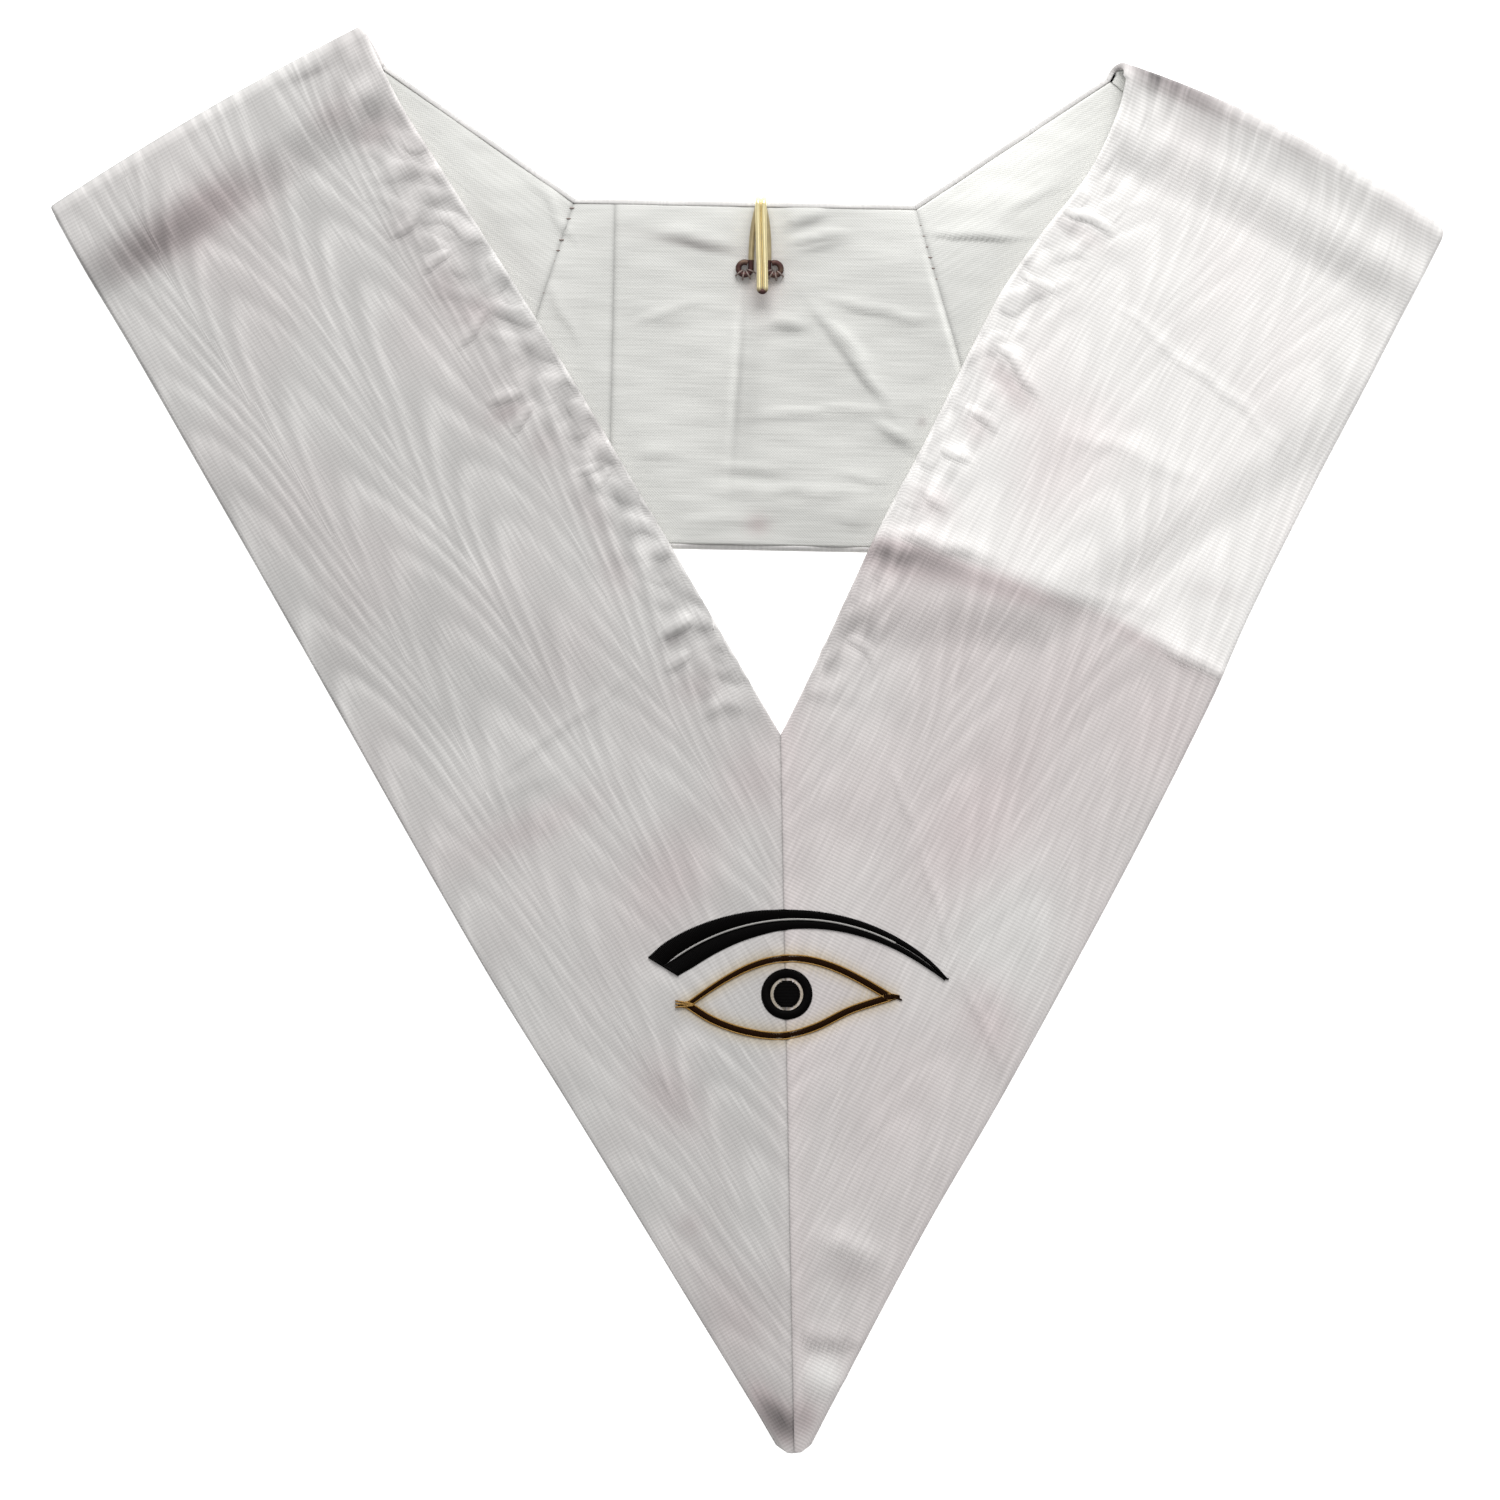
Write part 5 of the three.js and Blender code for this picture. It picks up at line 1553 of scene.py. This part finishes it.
class COLLAR_OT_straps(bpy.types.Operator):
    """Build the shoulder straps and the neck strap, ribbon down and lining up"""

    bl_idname = "collar.straps"
    bl_label = "Straps"

    def execute(self, context):
        for name, band in BANDS.items():
            corners = [band.seam_top, band.neck_top, band.neck_low, band.seam_low]
            under = f"shoulder_strap_{name}"
            strap(under, corners, UNDER_SPACING, [f"ribbon_shoulder_{name}"], lining=False)
            strap(f"shoulder_lining_{name}", corners, STRAP_SPACING, [f"lining_shoulder_{name}"],
                  lining=True)
        corners = [LEFT.neck_top, RIGHT.neck_top, RIGHT.neck_low, LEFT.neck_low]
        strap("neck_strap", corners, UNDER_SPACING, ["ribbon_neck"], lining=False)
        high = LEFT.neck_top + NECK_RUN * LINING_SEAM
        deep = high + NECK_DOWN * NECK_WIDTH
        end = [corners[0], high, deep, corners[3]]
        main_part = [high, corners[1], corners[2], deep]
        strap("neck_lining_end", end, STRAP_SPACING, ["lining_neck_end"], lining=True)
        strap("neck_lining", main_part, STRAP_SPACING, ["lining_neck"], lining=True)
        return {"FINISHED"}


class COLLAR_OT_embroidery(bpy.types.Operator):
    """Stitch the eye: a brow in two columns of satin stitch, lids edged with gilt, an iris and a pupil"""

    bl_idname = "collar.embroidery"
    bl_label = "Embroidery"

    def execute(self, context):
        thread = context.scene.collar_thread
        pitch, rise = thread.pitch, thread.rise
        black = spun_thread("Rayon thread, black", thread.black, 0.6, specular=0.05)
        umber = spun_thread("Rayon thread, umber", thread.umber, 0.6, specular=0.05)
        gold = spun_thread("Gilt thread", thread.gold, 0.45, metallic=0.3)
        pale = spun_thread("Rayon thread, pale", thread.pale, 0.6, specular=0.2)
        rising = np.linspace(0, 1, 12)

        share = np.linspace(0, 1, int(np.radians(BROW_LEFT + BROW_RIGHT) * BROW_RADIUS / pitch))
        whole = np.ones_like(share)
        back = np.clip(share - BROW_SLANT, 0, 1)
        half = np.maximum(curve(BROW_SECTIONS, share) * BROW_THICKNESS / 2, BROW_GROOVE)
        groove = np.minimum(BROW_GROOVE / half, 0.2) * smooth((share - 0.02) / 0.03)
        upper = satin(brow_line(back, groove), brow_line(share, whole), FACE_TOP, rise, pitch)
        lower = satin(brow_line(share, -whole), brow_line(back, -groove), FACE_TOP, rise, pitch)
        high, low = brow_line(np.zeros(2), np.array([1.0, -1.0]))
        edge = laid_thread(high + (low - high) * rising[:, None], BROW_EDGE)
        tip = brow_line(np.array([1.0]), np.array([0.0]))[0]
        tail = stray_thread(tip, BROW_TAIL_RUN, BROW_TAIL_RISE * np.linspace(1, 0, 14) ** 2, BROW_TAIL)
        new_piece("brow_stitches", *joined([upper, lower, edge, tail]), black, "thread_black", ["eye_brow"])
        middle = brow_line(np.linspace(*BROW_MIDDLE_RUN, 160), np.zeros(160))
        new_piece("brow_line", *laid_thread(middle, BROW_MIDDLE), pale, "thread_black")

        lids, edging = [], []
        for upper_lid in (True, False):
            line = lid_line(upper_lid, pitch)
            steps = np.arange(len(line))
            breadth = np.minimum(1.0, LID_TIP_BREADTH + np.minimum(steps, steps[::-1]) / LID_TIP_STEPS)
            if upper_lid:
                breadth = breadth * lerp(LID_THIN, 1.0, smooth(steps / steps[-1] / LID_THIN_SHARE))
            away = sideways(line) * breadth[:, None] * EYE_LINE / 2
            starts, ends = line - LID_FILL * away, line + LID_FILL * away
            lids.append(satin(starts, ends, FACE_TOP, LID_RISE * rise, pitch))
            edging += [laid_thread(line + side * LID_EDGE_PLACE * away, LID_EDGE) for side in (-1, 1)]
        reach = turned(EYE_TILT) * EYE_LENGTH / 2
        for lift in LID_TIP_LIFTS:
            lifts = lift * np.linspace(0.2, 1, 12)
            edging.append(stray_thread(LIDS_MIDDLE - reach, LID_TIP_RUN, lifts, LID_TIP))
        lids.append(stray_thread(LIDS_MIDDLE + reach, LID_TAIL_RUN, -LID_TAIL_FALL * rising ** 2, LID_TAIL))
        new_piece("lid_stitches", *joined(lids), umber, "thread_gold", ["eye_outline"])
        new_piece("lid_gilt_edging", *joined(edging), gold, "thread_gold")

        around = np.linspace(0, 2 * np.pi, int(2 * np.pi * IRIS_RADIUS / pitch), endpoint=False)
        ring = np.column_stack([np.cos(around), np.sin(around)])
        inner = EYE_MIDDLE + ring * (IRIS_RADIUS - IRIS_LINE - 2 * THREAD_OVER)
        iris = satin(inner, EYE_MIDDLE + ring * IRIS_RADIUS, FACE_TOP, rise, pitch)
        new_piece("iris_stitches", *iris, black, "thread_black", ["eye_iris"])
        rows = np.arange(-PUPIL_RADIUS + pitch, PUPIL_RADIUS, pitch)
        half = np.sqrt(PUPIL_RADIUS ** 2 - rows ** 2) + THREAD_OVER
        starts, ends = (EYE_MIDDLE + np.column_stack([side * half, rows]) for side in (-1, 1))
        pupil = satin(starts, ends, FACE_TOP, rise, pitch)
        new_piece("pupil_stitches", *pupil, black, "thread_black", ["eye_pupil"])
        return {"FINISHED"}


class COLLAR_OT_hook(bpy.types.Operator):
    """Bend the wire hook and sew it down through its two eyes"""

    bl_idname = "collar.hook"
    bl_label = "Hook"

    def execute(self, context):
        local = hook_path()
        local[:, 0] += HOOK_LEAN * smooth(-local[:, 1] / HOOK_LENGTH) * (local[:, 2] > HOOK_BEND)
        path = hook_place(local)
        points, tables = tubes(path[None], WIRE / 2, WIRE_SIDES, np.array([1.0, 0.0, 1.0]))
        dull = 1 - smooth((local[:, 2] - DULL_HEIGHT) / DULL_BLUR)
        by_eyes = local[:, 1] < -HOOK_EYE_DROP + EYES_TONED
        # Painted shadow at the tongue's rounded tip, carried with the patina
        tip = 1 - smooth((local[:, 1] + HOOK_LENGTH) / TIP_SHADOW_REACH)
        patina = np.maximum((SHANK_PATINA + EYES_PATINA * by_eyes) * dull, TIP_SHADOW * tip)
        new_piece("hook_wire", points, tables, drawn_brass(context.scene.collar_hook), "wire_brass", ["hook"],
                  patina=np.repeat(patina, WIRE_SIDES))
        sewing = spun_thread(SEWING_THREAD, context.scene.collar_thread.sewing, 0.8)
        turns = HOOK_STITCH_TURNS
        out = np.column_stack([np.cos(turns), np.sin(turns), 0 * turns])
        starts, ends = [], []
        for side in (-1, 1):
            centre = np.array([side * (HOOK_SHANK_HALF + HOOK_EYE_RADIUS), -HOOK_EYE_DROP, 0.0])
            mirror = np.array([side, 1.0, 1.0])
            starts.append(hook_place(centre + out * mirror * (HOOK_EYE_RADIUS - HOOK_STITCH_IN))[:, :2])
            ends.append(hook_place(centre + out * mirror * (HOOK_EYE_RADIUS + HOOK_STITCH_OUT))[:, :2])
        rise, pitch = HOOK_STITCH_RISE, HOOK_STITCH_PITCH
        stitches = satin(np.vstack(starts), np.vstack(ends), LINING_TOP, rise, pitch)
        new_piece("hook_stitches", *stitches, sewing, "lining_cotton")
        return {"FINISHED"}


class COLLAR_OT_seam_stitches(bpy.types.Operator):
    """Sew the running stitches that show at the point and on the lining's seams"""

    bl_idname = "collar.seam_stitches"
    bl_label = "Seam Stitches"

    def execute(self, context):
        sewing = bpy.data.materials[SEWING_THREAD]
        starts = SEAM_RUN * POINT_STITCH_PLACES[:, None] - right_of(SEAM_RUN) * POINT_STITCH_BESIDE
        ends = starts + SEAM_RUN * POINT_STITCH_LENGTH
        parts = [satin(starts, ends, FACE_TOP - POINT_STITCH_SUNK, POINT_STITCH_RISE, SEAM_STITCH_PITCH)]
        for band in BANDS.values():
            places = band.neck_top + unit(band.neck_low - band.neck_top) * NECK_STITCH_PLACES[:, None]
            stitch = NECK_RUN * NECK_STITCH_LENGTH * band.lay.hand
            starts = places + stitch / 2
            parts.append(satin(starts, starts - stitch, LINING_TOP, NECK_STITCH_RISE, SEAM_STITCH_PITCH))
        new_piece("seam_stitches", *joined(parts), sewing, "lining_cotton")
        return {"FINISHED"}


class COLLAR_OT_stage(bpy.types.Operator):
    """Lay the pale floor, hang the soft lights and set the camera straight above"""

    bl_idname = "collar.stage"
    bl_label = "Stage"

    def execute(self, context):
        stage = context.scene.collar_stage
        mesh = bpy.data.meshes.new("floor")
        corners = [(-1, -1), (1, -1), (1, 1), (-1, 1)]
        places = [(x * FLOOR_HALF, y * FLOOR_HALF, -FLOOR_DEPTH) for x, y in corners]
        mesh.from_pydata(places, [], [(0, 1, 2, 3)])
        paper, _, shader = new_material("Matt paper, white", **{"Roughness": 0.95, "Specular IOR Level": 0.2})
        shader.inputs["Base Color"].default_value = (*stage.floor, 1.0)
        shader.inputs["Emission Color"].default_value = (*stage.floor, 1.0)
        shader.inputs["Emission Strength"].default_value = stage.glow
        mesh.materials.append(paper)
        floor = linked("floor", mesh)

        world = bpy.data.worlds.new("even light")
        world.use_nodes = True
        background = world.node_tree.nodes["Background"]
        background.inputs["Color"].default_value = (1.0, 1.0, 1.0, 1.0)
        background.inputs["Strength"].default_value = stage.sky
        context.scene.world = world

        for name, lamp in LAMPS.items():
            light = bpy.data.lights.new(name, "AREA")
            light.energy = getattr(stage, name)
            light.shape = "RECTANGLE"
            light.size, light.size_y = lamp.size
            holder = linked(name, light)
            holder.location = lamp.place
            holder.rotation_euler = (lamp.lean, 0.0, 0.0)

        lens = bpy.data.cameras.new("camera")
        lens.lens = stage.lens
        lens.sensor_width = SENSOR_WIDTH
        camera = linked("camera", lens)
        camera.location = (*CAMERA_PLACE, FOCUS_HEIGHT + stage.view * stage.lens / SENSOR_WIDTH)
        context.scene.camera = camera
        context.scene.view_settings.view_transform = "Standard"
        return {"FINISHED"}


class VIEW3D_PT_collar(bpy.types.Panel):
    """The collar's operators and settings"""

    bl_label = "Ribbon Regalia Collar"
    bl_idname = "VIEW3D_PT_collar"
    bl_space_type = "VIEW_3D"
    bl_region_type = "UI"
    bl_category = "Collar"

    def draw(self, context):
        for operator in OPERATORS:
            self.layout.operator(operator.bl_idname)
        for key, group in GROUPS.items():
            box = self.layout.box()
            for name in group.__annotations__:
                box.prop(getattr(context.scene, key), name)


GROUPS = {
    "collar_cloth": CollarCloth,
    "collar_thread": CollarThread,
    "collar_hook": CollarHook,
    "collar_stage": CollarStage,
}
OPERATORS = [
    COLLAR_OT_front_bands,
    COLLAR_OT_straps,
    COLLAR_OT_embroidery,
    COLLAR_OT_hook,
    COLLAR_OT_seam_stitches,
    COLLAR_OT_stage,
]


def register():
    for kind in (*GROUPS.values(), *OPERATORS, VIEW3D_PT_collar):
        bpy.utils.register_class(kind)
    for key, group in GROUPS.items():
        setattr(bpy.types.Scene, key, bpy.props.PointerProperty(type=group))


def unregister():
    for key in GROUPS:
        delattr(bpy.types.Scene, key)
    for kind in (VIEW3D_PT_collar, *reversed(OPERATORS), *reversed(GROUPS.values())):
        bpy.utils.unregister_class(kind)


def main():
    register()
    bpy.ops.collar.front_bands()
    bpy.ops.collar.straps()
    bpy.ops.collar.embroidery()
    bpy.ops.collar.hook()
    bpy.ops.collar.seam_stitches()
    bpy.ops.collar.stage()


if __name__ == "__main__":
    main()
